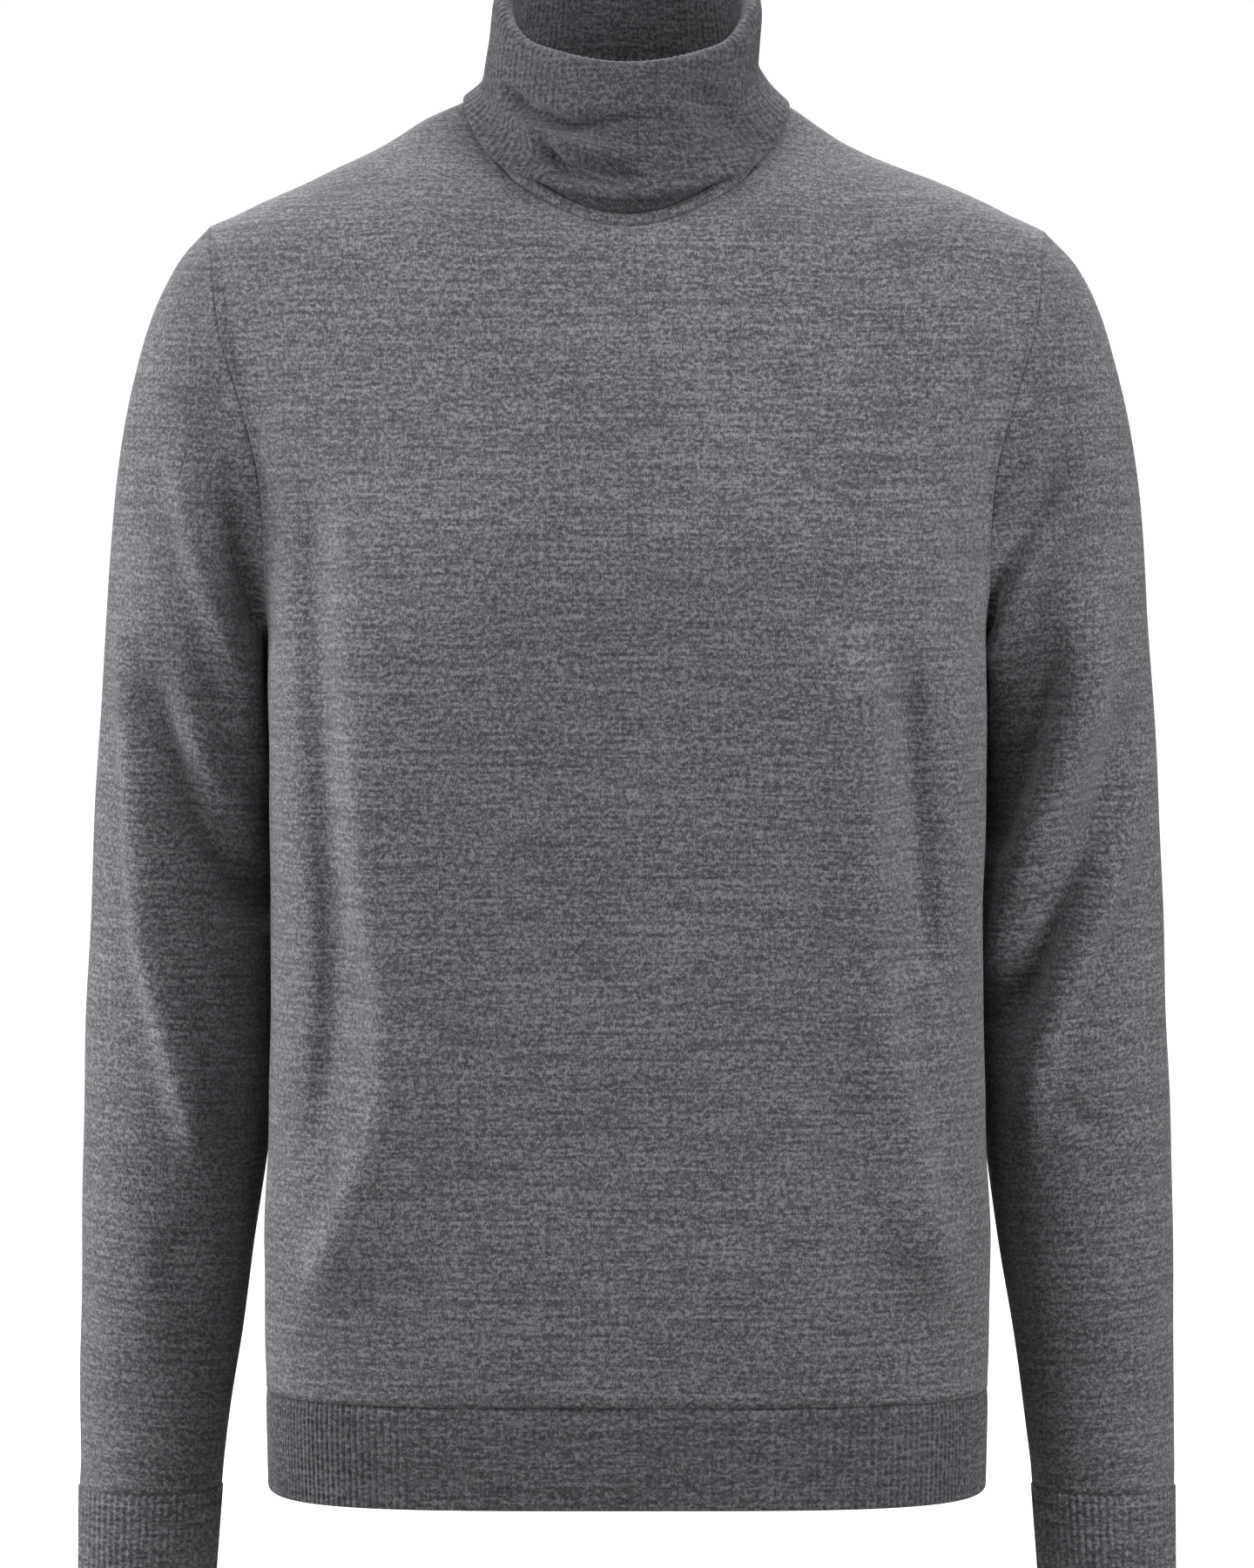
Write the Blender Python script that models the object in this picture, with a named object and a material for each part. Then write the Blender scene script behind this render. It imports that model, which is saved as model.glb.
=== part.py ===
"""A fine-knit roll-neck sweater, standing filled out as it is worn, with nobody in it.

Run with: blender --background --python part.py

The garment is knitted in ten pieces that are linked together: a front and a back panel with
set-in armholes, two full-fashioned sleeves, a ribbed band round the hem in a front and a back
half, two ribbed cuffs, a narrow linked band round the neckline, and on it a ribbed tube that is
folded over once as the roll neck.

Frame: +Z up, -Y is the wearer's front, +X the wearer's left. The origin is the middle of the
neck's base, level with the inner ends of the shoulder seams.
Tables are in millimetres; points are made in metres.
"""

import math
from collections import namedtuple

import bmesh
import bpy
import numpy as np

MM = 0.001

# ---------------------------------------------------------------- driving dimensions, mm

JERSEY_WALL = 1.8          # thickness of the plain knit
RIB_WALL = 2.0             # thickness of the ribbed knit at a furrow
RIB_RELIEF = 0.7           # how far a rib stands above its furrow
SEAM_GAP = 0.3             # clearance between two pieces along a seam
SLANT = 1.5                # how much further apart two pieces are set where their seam is slanted

UNDERARM_Z = -265.0        # the armhole's lowest point
FRONT_TIP_MIDDLE_Z = -102.0  # where the row from shoulder tip to shoulder tip crosses the middle
BACK_TIP_MIDDLE_Z = -52.0
SHOULDER_TIP_Z = -61.0     # the armhole's highest point, where the shoulder seam ends
HEM_TOP_Z = -628.0         # where the plain knit turns into the hem's rib
HEM_BOTTOM_Z = -678.0
CUFF_TOP_Z = -684.0
CUFF_BOTTOM_Z = -746.0

HEM_RIBS = 144             # in each half of the hem
CUFF_RIBS = 60
COLLAR_RIBS = 112
HEM_SHARE = 8              # columns of the ribbed face to one of the plain face behind it
CUFF_SHARE = 4
COLLAR_SHARE = 8

ARMHOLE_STEPS = 12         # divisions of half an armhole, and so of half a sleeve
SIDE_STEPS = 8             # divisions of a side seam
SHOULDER_STEPS = 4         # divisions of a shoulder seam
FRONT_COLUMNS = 22
BACK_COLUMNS = 18
CURVE_SAMPLES = 301        # points that a row's curve is read at before it is divided
BEND_LENGTH = 45.0         # length that one radian of bend counts for when a row is divided
MITRE_LIKENESS = 0.4       # walls whose directions agree by this cosine share one seam direction

# ---------------------------------------------------------------- the body's horizontal sections

Section = namedtuple("Section", "z half_width front back front_square back_square")
BODY = (
    Section(20, 74.0, 8.0, 58.0, 2.1, 2.1),
    Section(12, 74.0, 8.0, 60.0, 2.1, 2.1),
    Section(5, 74.0, 8.0, 62.0, 2.1, 2.1),
    Section(0.5, 74.0, 8.0, 63.2, 2.1, 2.1),
    Section(-1, 75.4, 9.5, 63.8, 2.1, 2.1),
    Section(-3, 78.6, 12.0, 65.0, 2.15, 2.15),
    Section(-6, 85.6, 15.5, 66.0, 2.15, 2.15),
    Section(-10, 94.0, 20.5, 67.0, 2.2, 2.2),
    Section(-18, 107.5, 30.0, 70.0, 2.2, 2.2),
    Section(-27, 125.0, 41.0, 74.0, 2.2, 2.2),
    Section(-35, 143.0, 51.0, 77.0, 2.2, 2.2),
    Section(-44, 162.5, 61.0, 80.0, 2.2, 2.2),
    Section(-52, 183.0, 69.0, 83.0, 2.15, 2.15),
    Section(-61, 204.5, 77.0, 87.0, 2.1, 2.1),
    Section(-70, 219.0, 83.0, 90.0, 2.1, 2.1),
    Section(-80, 231.0, 88.0, 94.0, 2.05, 2.05),
    Section(-100, 238.0, 97.0, 101.0, 2.0, 2.0),
    Section(-116, 235.0, 103.0, 105.0, 2.0, 2.0),
    Section(-135, 225.0, 109.0, 109.0, 2.0, 2.0),
    Section(-157, 210.0, 115.0, 112.0, 2.1, 2.0),
    Section(-187, 191.0, 121.0, 113.0, 2.4, 2.2),
    Section(-225, 180.5, 125.0, 113.0, 2.8, 2.35),
    Section(-250, 176.8, 125.0, 111.0, 3.1, 2.4),
    Section(-265, 175.5, 124.0, 110.0, 3.3, 2.4),
    Section(-330, 175.5, 119.0, 105.0, 3.6, 2.4),
    Section(-420, 174.5, 114.0, 98.0, 3.7, 2.4),
    Section(-500, 175.5, 114.0, 98.0, 3.8, 2.5),
    Section(-560, 178.0, 116.0, 102.0, 3.9, 2.7),
    Section(-628, 177.0, 114.0, 104.0, 3.9, 2.9),
    Section(-680, 176.0, 111.0, 101.0, 3.9, 2.9),
)

ArmholeEdge = namedtuple("ArmholeEdge", "z x")
ARMHOLE = (
    ArmholeEdge(-61, 204.5),
    ArmholeEdge(-70, 202.0),
    ArmholeEdge(-80, 200.5),
    ArmholeEdge(-100, 198.5),
    ArmholeEdge(-116, 196.0),
    ArmholeEdge(-135, 190.5),
    ArmholeEdge(-157, 184.0),
    ArmholeEdge(-187, 177.5),
    ArmholeEdge(-225, 175.0),
    ArmholeEdge(-250, 174.9),
    ArmholeEdge(-265, 175.5),
)

# ---------------------------------------------------------------- rings round the neck
# Heights at the front, half way round to the side, the side, half way to the back, and the back.

Ring = namedtuple("Ring", "half_width front back z0 z45 z90 z135 z180")
NECKLINE = Ring(74.0, 80.5, 60.0, -66.0, -45.0, 0.5, 11.0, 13.0)
BAND_RISE = 6.0            # height of the linked band below the roll neck
COLLAR_SEAT = 0.7          # how far above the band the roll neck's foot is set
BAND_LEAN = 0.97           # how much narrower the band is at its top

# The roll neck's fabric, followed along its middle from the linked band up the inside, over the
# fold and down the outside to the free edge.
COLLAR = (
    Ring(63.0, 74.0, 57.0, -44.0, -26.0, 14.0, 27.0, 30.0),
    Ring(59.5, 69.0, 55.5, -20.0, -4.0, 29.0, 46.0, 50.0),
    Ring(57.5, 65.0, 54.0, 7.5, 18.5, 45.0, 67.5, 75.0),
    Ring(58.7, 66.2, 55.2, 12.8, 23.6, 50.3, 72.8, 80.8),
    Ring(61.0, 68.6, 58.0, 15.0, 25.8, 52.6, 75.2, 83.2),
    Ring(63.6, 71.4, 60.6, 12.8, 23.6, 50.3, 72.8, 80.8),
    Ring(64.8, 73.4, 62.0, 6.5, 17.0, 44.0, 66.0, 74.5),
    Ring(65.6, 76.0, 63.5, -6.0, 5.0, 32.0, 54.0, 62.0),
    Ring(65.4, 75.5, 63.5, -20.0, -8.0, 19.0, 38.0, 46.0),
    Ring(71.0, 80.0, 65.0, -38.0, -23.0, 9.5, 24.0, 31.0),
    Ring(81.0, 86.0, 68.0, -54.0, -38.5, -0.5, 10.0, 16.0),
)

# The soft creases of the part that is turned down. ring counts from the foot, which is 0; turn is
# in radians from the front towards the wearer's left; a negative height is a trough.
Crease = namedtuple("Crease", "ring turn reach height")
ROLL_CREASES = (
    Crease(8, -0.60, 0.60, 0.8),
    Crease(9, -0.75, 0.55, -2.4),
    Crease(10, -0.35, 0.45, -0.9),
    Crease(9, 1.45, 0.50, -0.8),
)

# ---------------------------------------------------------------- the sleeve, shoulder to wrist
# Each station joins a point on the sleeve's outer line to one on its inner line.

Station = namedtuple("Station", "outer_x outer_y outer_z inner_x inner_y inner_z depth roundness")
SLEEVE = (
    Station(219.5, 0.0, -78.0, 177.4, 6.0, -271.0, 61.0, 0.15),
    Station(230.0, 0.5, -98.0, 177.3, 10.0, -279.0, 62.5, 0.35),
    Station(239.0, 2.0, -124.0, 177.1, 13.5, -289.0, 63.5, 0.6),
    Station(246.3, 4.0, -154.0, 176.8, 16.0, -301.0, 64.0, 0.8),
    Station(251.2, 7.0, -187.0, 176.4, 18.0, -318.0, 64.0, 1.0),
    Station(254.7, 11.0, -220.0, 176.0, 20.0, -339.0, 63.5, 1.0),
    Station(257.7, 15.0, -255.0, 175.6, 22.0, -363.0, 62.5, 1.0),
    Station(260.7, 19.0, -293.0, 175.3, 23.5, -390.0, 61.0, 1.0),
    Station(263.5, 22.0, -333.0, 175.1, 24.0, -419.0, 59.0, 1.0),
    Station(265.7, 24.0, -374.0, 175.4, 24.0, -449.0, 57.0, 1.0),
    Station(267.5, 23.0, -416.0, 176.2, 23.0, -480.0, 55.0, 1.0),
    Station(269.0, 20.5, -459.0, 178.2, 20.5, -511.0, 52.5, 1.0),
    Station(270.2, 17.0, -502.0, 181.8, 17.0, -542.0, 49.5, 1.0),
    Station(271.0, 12.5, -545.0, 186.2, 12.5, -573.0, 46.0, 1.0),
    Station(271.4, 7.5, -588.0, 191.0, 7.5, -604.0, 41.5, 1.0),
    Station(271.6, 3.0, -634.0, 196.4, 3.0, -640.0, 36.5, 1.0),
    Station(271.6, 0.0, CUFF_TOP_Z, 201.2, 0.0, CUFF_TOP_Z, 31.5, 1.0),
)
CUFF = (
    Station(272.0, 0.0, CUFF_TOP_Z, 200.8, 0.0, CUFF_TOP_Z, 31.2, 1.0),
    Station(272.4, -2.0, CUFF_BOTTOM_Z, 205.5, -2.0, CUFF_BOTTOM_Z, 29.0, 1.0),
)

# ---------------------------------------------------------------- the largest folds
# Each runs from one point to another as seen from the front, bowed sideways; a positive height
# is a ridge and a negative one a trough. reach is its width from the crest to its foot.

Fold = namedtuple("Fold", "x0 z0 x1 z1 bow height reach")
RIGHT_SLEEVE_FRONT = (
    Fold(-218, -160, -173, -356, 2, 6.5, 13),
    Fold(-197, -180, -175, -262, -2, -5.0, 13),
    Fold(-238, -262, -169, -412, 7, -9.0, 15),
    Fold(-222, -292, -176, -384, 0, 4.0, 14),
    Fold(-245, -240, -206, -535, 9, 6.5, 13),
)
LEFT_SLEEVE_FRONT = (
    Fold(216, -165, 174, -242, -2, -4.5, 12),
    Fold(203, -203, 174, -330, 6, 5.5, 13),
    Fold(211, -250, 176, -376, -3, -5.0, 13),
    Fold(227, -230, 178, -444, -7, 7.0, 13),
    Fold(249, -290, 183, -470, -2, -7.5, 14),
    Fold(252, -335, 198, -525, 7, 6.0, 13),
)
RIGHT_SLEEVE_BACK = (
    Fold(-222, -150, -186, -320, 8, -6.0, 16),
    Fold(-250, -300, -190, -450, 10, -7.0, 17),
    Fold(-258, -380, -205, -540, 10, 5.0, 16),
)
LEFT_SLEEVE_BACK = (
    Fold(224, -160, 186, -335, -8, -6.5, 16),
    Fold(254, -320, 190, -470, -10, -6.5, 17),
    Fold(250, -270, 196, -420, -10, 4.5, 15),
)
FRONT_FOLDS = (
    Fold(-130, -185, -112, -470, -1, 6.0, 16),
    Fold(-112, -430, -152, -592, -5, 6.0, 15),
    Fold(-154, -166, -153, -520, -8, -4.0, 14),
    Fold(108, -250, 154, -592, 14, 6.5, 16),
    Fold(134, -262, 147, -435, -1, -5.0, 13),
)
BACK_FOLDS = (
    Fold(-120, -250, -95, -470, -8, 4.5, 22),
    Fold(118, -270, 88, -480, 8, 4.5, 22),
    Fold(-30, -430, -110, -575, 10, -4.0, 24),
    Fold(30, -440, 115, -585, -10, -4.0, 24),
)
FOLD_SAMPLES = 24
FOLD_ENDS = 0.03           # share of a fold's length at each end that keeps the same low height
FOLD_FULLNESS = 0.7        # below 1, a fold keeps its height along more of its length
SIDE_FADE = 1.6            # how soon a sleeve's folds reach full height off its side lines
SETTLED_RINGS = 2.0        # rings over which a sleeve's folds fade out at each of its ends

# ---------------------------------------------------------------- finishes

Finish = namedtuple("Finish", "name colour roughness")
JERSEY = Finish("grey_melange_jersey", (0.150, 0.148, 0.160, 1.0), 0.95)
RIB = Finish("grey_melange_rib", (0.105, 0.103, 0.113, 1.0), 0.95)


# ================================================================ curves and surfaces


def smooth(places, values, wanted):
    """A smooth curve through a table's values, without overshoot, read at the wanted places."""
    places = np.asarray(places, float)
    values = np.asarray(values, float)
    if places[0] > places[-1]:
        places, values = places[::-1], values[::-1]
    wanted = np.clip(np.asarray(wanted, float), places[0], places[-1])
    steps = np.diff(places)
    rises = np.diff(values) / steps
    slopes = np.zeros_like(values)
    slopes[0], slopes[-1] = rises[0], rises[-1]
    before, after = rises[:-1], rises[1:]
    early, late = steps[:-1] + 2 * steps[1:], 2 * steps[:-1] + steps[1:]
    same = before * after > 0
    mean = early[same] / before[same] + late[same] / after[same]
    slopes[1:-1][same] = (early + late)[same] / mean
    i = np.clip(np.searchsorted(places, wanted) - 1, 0, len(steps) - 1)
    h = steps[i]
    t = (wanted - places[i]) / h
    return (
        (1 + 2 * t) * (1 - t) ** 2 * values[i]
        + t * (1 - t) ** 2 * h * slopes[i]
        + t * t * (3 - 2 * t) * values[i + 1]
        + t * t * (t - 1) * h * slopes[i + 1]
    )


def column(table, name):
    return [getattr(row, name) for row in table]


def body_value(name, z):
    """One column of the body's sections at height z."""
    return smooth(column(BODY, "z"), column(BODY, name), z)


def body_depth(x, z, side):
    """How far the body's surface lies from the plane Y = 0, at (x, z), on its front or its back."""
    square = body_value(f"{side}_square", z)
    share = np.clip(np.abs(x) / body_value("half_width", z), 0, 1)
    return body_value(side, z) * (1 - share**square) ** (1 / square)


def body_level(points, side):
    """Below 1 inside the body's surface and above 1 outside it."""
    x, y, z = points[..., 0], points[..., 1], points[..., 2]
    square = body_value(f"{side}_square", z)
    return (np.abs(x) / body_value("half_width", z)) ** square + (
        np.abs(y) / body_value(side, z)
    ) ** square


def unit(vectors):
    return vectors / np.maximum(np.linalg.norm(vectors, axis=-1, keepdims=True), 1e-12)


def body_normals(points, side):
    """The outward direction at points of the body's surface."""
    step = 0.05
    slopes = [
        body_level(points + step * axis, side) - body_level(points - step * axis, side)
        for axis in np.eye(3)
    ]
    return unit(np.stack(slopes, axis=-1))


def resample(points, count):
    """The same curve in count steps, shorter where it bends."""
    steps = np.diff(points, axis=0)
    along = unit(steps)
    bends = np.arccos(np.clip((along[1:] * along[:-1]).sum(axis=1), -1, 1))
    measure = np.linalg.norm(steps, axis=1)
    measure[1:] += bends * BEND_LENGTH
    reach = np.concatenate([[0], np.cumsum(measure)])
    wanted = np.linspace(0, reach[-1], count + 1)
    return np.stack([np.interp(wanted, reach, points[:, k]) for k in range(3)], axis=1)


def half_ring(ring, side, columns):
    """The front or back half of a ring that holds the whole front half first."""
    if side == "front":
        return ring[: columns + 1]
    return ring[(len(ring) - np.arange(columns + 1)) % len(ring)]


def fold_relief(points, folds):
    """How far the folds lift each point off the plain surface."""
    lift = np.zeros(points.shape[:-1])
    for fold in folds:
        start, end = np.array([fold.x0, fold.z0]), np.array([fold.x1, fold.z1])
        along = np.linspace(0, 1, FOLD_SAMPLES)
        across = unit(np.array([[end[1] - start[1], start[0] - end[0]]]))[0]
        line = start + along[:, None] * (end - start)
        line = line + np.outer(4 * along * (1 - along) * fold.bow, across)
        gap = np.linalg.norm(points[..., None, (0, 2)] - line, axis=-1)
        nearest = gap.argmin(axis=-1)
        place = np.clip(along[nearest], FOLD_ENDS, 1 - FOLD_ENDS)
        taper = np.sin(math.pi * place) ** FOLD_FULLNESS
        lift += fold.height * taper * np.exp(-((gap.min(axis=-1) / fold.reach) ** 2))
    return lift


def grid_normals(grid, closed):
    """Directions square to a grid of points, by the differences along its rows and columns."""
    if closed:
        around = np.roll(grid, -1, axis=1) - np.roll(grid, 1, axis=1)
    else:
        around = np.gradient(grid, axis=1)
    return unit(np.cross(around, np.gradient(grid, axis=0)))


# ================================================================ walls made from rows of points


def skin(bm, grid, closed):
    """A sheet through rows of points that have one count, each square cut across its shorter way."""
    rows = [[bm.verts.new(point * MM) for point in row] for row in grid]
    for low, high in zip(rows, rows[1:]):
        rungs = list(zip(low, high))
        rungs += rungs[:1] if closed else []
        for (a, b), (c, d) in zip(rungs, rungs[1:]):
            if (a.co - d.co).length < (b.co - c.co).length:
                bm.faces.new((a, c, d))
                bm.faces.new((a, d, b))
            else:
                bm.faces.new((a, c, b))
                bm.faces.new((b, c, d))
    return rows


def close_rim(bm, fine, coarse, closed):
    """The wall's edge between a row with many points and one with a whole fraction of them."""
    if closed:
        fine, coarse = fine + fine[:1], coarse + coarse[:1]
    share = (len(fine) - 1) // (len(coarse) - 1)
    for i, (a, b) in enumerate(zip(coarse, coarse[1:])):
        bm.faces.new([a, *fine[i * share : (i + 1) * share + 1], b])


def wall(outer, inner, closed):
    """A closed wall between an outer and an inner sheet, as a mesh with its faces outwards."""
    bm = bmesh.new()
    outside, inside = skin(bm, outer, closed), skin(bm, inner, closed)
    close_rim(bm, outside[0], inside[0], closed)
    close_rim(bm, outside[-1], inside[-1], closed)
    if not closed:
        for end in (0, -1):
            close_rim(bm, [row[end] for row in outside], [row[end] for row in inside], False)
    bmesh.ops.recalc_face_normals(bm, faces=bm.faces)
    return bm


def node(name, bm, finish, sharp_degrees=50):
    """Puts a mesh in the sweater's collection as one named object."""
    mesh = bpy.data.meshes.new(name)
    bm.to_mesh(mesh)
    bm.free()
    mesh.shade_smooth()
    mesh.set_sharp_from_angle(angle=math.radians(sharp_degrees))
    mesh.materials.append(material(finish))
    obj = bpy.data.objects.new(name, mesh)
    collection("roll_neck_sweater").objects.link(obj)
    return obj


def collection(name):
    found = bpy.data.collections.get(name)
    if found is None:
        found = bpy.data.collections.new(name)
        bpy.context.scene.collection.children.link(found)
    return found


def material(finish):
    found = bpy.data.materials.get(finish.name)
    if found is None:
        found = bpy.data.materials.new(finish.name)
        found.use_nodes = True
        shader = found.node_tree.nodes["Principled BSDF"]
        shader.inputs["Base Color"].default_value = finish.colour
        shader.inputs["Roughness"].default_value = finish.roughness
        shader.inputs["Metallic"].default_value = 0.0
    return found


def ribbed(points, normals, crest_columns):
    """Lifts every other column into a rib; the columns between stay as furrows."""
    height = np.where(np.arange(points.shape[1]) % 2 == crest_columns, RIB_RELIEF, 0.0)
    return points + normals * height[None, :, None]


# ================================================================ the armhole and the body's panels


def armhole_side(side):
    """Half of the wearer's left armhole, from the underarm up to the shoulder's tip."""
    rise = (1 - np.cos(np.linspace(0, math.pi, CURVE_SAMPLES))) / 2
    z = UNDERARM_Z + (SHOULDER_TIP_Z - UNDERARM_Z) * rise
    x = smooth(column(ARMHOLE, "z"), column(ARMHOLE, "x"), z)
    depth = body_depth(x, z, side)
    depth[0] = depth[-1] = 0.0
    y = -depth if side == "front" else depth
    return resample(np.stack([x, y, z], axis=1), ARMHOLE_STEPS)


def ring_height(ring, share):
    """A ring's height by the turn from its front (0) to its back (1), level at both."""
    heights = (ring.z45, ring.z0, ring.z45, ring.z90, ring.z135, ring.z180, ring.z135)
    return smooth(np.linspace(-0.25, 1.25, len(heights)), heights, share)


def panel_row(edge_x, edge_z, middle_z, roundness, side, columns):
    """One row of a panel, from the wearer's right edge to the left, lying on the body."""
    turn = np.linspace(-math.pi / 2, math.pi / 2, CURVE_SAMPLES)
    share = np.sin(turn)
    rise = (1 - roundness) * np.abs(share) ** 3 + roundness * (1 - np.cos(turn))
    x, z = edge_x * share, middle_z + (edge_z - middle_z) * rise
    depth = body_depth(x, z, side)
    if edge_z <= UNDERARM_Z or edge_z >= SHOULDER_TIP_Z:
        depth[0] = depth[-1] = 0.0
    y = -depth if side == "front" else depth
    return resample(np.stack([x, y, z], axis=1), columns)


def neckline_row(side, columns):
    """The panel's last row: its half of the neckline, on the body's surface."""
    turn = np.linspace(-math.pi / 2, math.pi / 2, CURVE_SAMPLES)
    quarter = np.abs(turn) / math.pi
    share = quarter if side == "front" else 1 - quarter
    x, z = NECKLINE.half_width * np.sin(turn), ring_height(NECKLINE, share)
    depth = body_depth(x, z, side)
    depth[0] = depth[-1] = 0.0
    y = -depth if side == "front" else depth
    return resample(np.stack([x, y, z], axis=1), columns)


def panel_points(side, columns):
    """The plain surface of the front or back panel, hem to neckline, and its normals."""
    armhole = armhole_side(side)
    middle_top = NECKLINE.z0 if side == "front" else NECKLINE.z180
    rows = []
    for z in np.linspace(HEM_TOP_Z + SEAM_GAP / 2, UNDERARM_Z, SIDE_STEPS + 1)[:-1]:
        rows.append(panel_row(body_value("half_width", z), z, z, 0.0, side, columns))
    middle_tip = FRONT_TIP_MIDDLE_Z if side == "front" else BACK_TIP_MIDDLE_Z
    middles = np.linspace(UNDERARM_Z, middle_tip, ARMHOLE_STEPS + 1)
    for (x, _, z), middle in zip(armhole, middles):
        rows.append(panel_row(x, z, middle, 0.0, side, columns))
    for share in np.linspace(0, 1, SHOULDER_STEPS + 1)[1:-1]:
        z = SHOULDER_TIP_Z + (NECKLINE.z90 - SHOULDER_TIP_Z) * share
        middle = middle_tip + (middle_top - middle_tip) * share
        roundness = share if side == "front" else 0.0
        rows.append(panel_row(body_value("half_width", z), z, middle, roundness, side, columns))
    rows.append(neckline_row(side, columns))
    points = np.array(rows)
    return points, body_normals(points, side)


def panel(side):
    """The front or back panel, held back by half a seam's gap along its shoulder and side seams."""
    columns = FRONT_COLUMNS if side == "front" else BACK_COLUMNS
    points, normals = panel_points(side, columns)
    armhole_rows = slice(SIDE_STEPS, SIDE_STEPS + ARMHOLE_STEPS + 1)
    mitre = half_ring(armhole_mitre()[0], side, ARMHOLE_STEPS)
    normals[armhole_rows, -1] = mitre
    normals[armhole_rows, 0] = mitre * (-1, 1, 1)
    normals[-1] = half_ring(neckline_mitre()[1], side, columns)
    folds = FRONT_FOLDS if side == "front" else BACK_FOLDS
    outer = points + normals * fold_relief(points, folds)[..., None]
    inner = outer - normals * JERSEY_WALL
    forward = np.array([0.0, -1.0 if side == "front" else 1.0, 0.0])
    seam = np.ones(len(points), bool)
    seam[SIDE_STEPS + 1 : SIDE_STEPS + ARMHOLE_STEPS] = False
    for sheet in (outer, inner):
        sheet[seam, 0] += forward * SEAM_GAP / 2
        sheet[seam, -1] += forward * SEAM_GAP / 2
    return node(f"{side}_panel", wall(outer, inner, closed=False), JERSEY)


def hem_band(side):
    """Half of the hem's ribbed band, ribs outside and plain inside."""
    fine, coarse = 2 * HEM_RIBS, 2 * HEM_RIBS // HEM_SHARE
    forward = np.array([0.0, -1.0 if side == "front" else 1.0, 0.0])
    heights = (HEM_BOTTOM_Z, HEM_TOP_Z - SEAM_GAP / 2)
    sheets = []
    for count in (fine, coarse):
        rows = [
            panel_row(body_value("half_width", z), z, z, 0.0, side, count) for z in heights
        ]
        points = np.array(rows)
        normals = body_normals(points, side)
        if count == fine:
            sheets.append(ribbed(points - normals * RIB_RELIEF / 2, normals, crest_columns=1))
        else:
            sheets.append(points - normals * (RIB_WALL + RIB_RELIEF / 2))
    for sheet in sheets:
        sheet[:, 0] += forward * SEAM_GAP / 2
        sheet[:, -1] += forward * SEAM_GAP / 2
    return node(f"hem_rib_{side}", wall(*sheets, closed=False), RIB, sharp_degrees=80)


# ================================================================ sleeves and cuffs


def station_ring(station, first_ring, first_station, columns):
    """One ring of a sleeve. Near the shoulder it keeps the armhole's shape."""
    turn = np.linspace(0, 2 * math.pi, columns, endpoint=False)
    ellipse = np.stack([-np.cos(turn), -np.sin(turn), np.zeros(columns)], axis=1)
    if first_ring is None:
        shape = ellipse
    else:
        shape = (1 - station.roundness) * local_ring(first_ring, first_station)
        shape = shape + station.roundness * ellipse
    outer, inner = np.array(station[:3]), np.array(station[3:6])
    half = (outer - inner) / 2
    length = np.linalg.norm(half)
    away = np.array([half[2], 0.0, -half[0]]) / length
    middle = (outer + inner) / 2
    return (
        middle
        + shape[:, :1] * half
        + shape[:, 1:2] * np.array([0.0, station.depth, 0.0])
        + shape[:, 2:] * away * length
    )


def local_ring(ring, station):
    """The armhole measured from its own middle: along its height, its depth, and out of it."""
    outer, inner = np.array(station[:3]), np.array(station[3:6])
    half = (outer - inner) / 2
    length = np.linalg.norm(half)
    away = np.array([half[2], 0.0, -half[0]]) / length
    offset = ring - (outer + inner) / 2
    return np.stack(
        [offset @ half / length**2, offset[:, 1] / station.depth, offset @ away / length], axis=1
    )


def left_armhole():
    """The whole armhole of the wearer's left side: underarm, up the front, down the back."""
    front, back = armhole_side("front"), armhole_side("back")
    return np.concatenate([front, back[-2:0:-1]])


def sleeve_surface():
    """The plain surface of the wearer's left sleeve, armhole to cuff, and its normals."""
    armhole = left_armhole()
    depth = np.abs(armhole[:, 1]).max()
    first = Station(ARMHOLE[0].x, 0.0, ARMHOLE[0].z, ARMHOLE[-1].x, 0.0, ARMHOLE[-1].z, depth, 0.0)
    rings = [station_ring(station, armhole, first, len(armhole)) for station in SLEEVE]
    points = np.array([armhole, *rings])
    return points, outward(points, grid_normals(points, closed=True))


def outward(points, normals):
    """The same normals, turned away from the middle of a tube."""
    middles = points.mean(axis=1, keepdims=True)
    return normals if ((points - middles) * normals).sum() > 0 else -normals


def armhole_mitre():
    """Directions through the two walls that meet along the wearer's left armhole: the body's and
    the sleeve's. They are one direction where the seam is a ridge, and their own in the valley
    under the arm."""
    front, back = armhole_side("front"), armhole_side("back")
    body = np.concatenate([body_normals(front, "front"), body_normals(back[-2:0:-1], "back")])
    arm = sleeve_surface()[1][0]
    likeness = np.clip((body * arm).sum(axis=1, keepdims=True) / MITRE_LIKENESS, 0, 1)
    shared = unit(body + arm)
    return (
        unit(body * (1 - likeness) + shared * likeness),
        unit(arm * (1 - likeness) + shared * likeness),
    )


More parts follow.
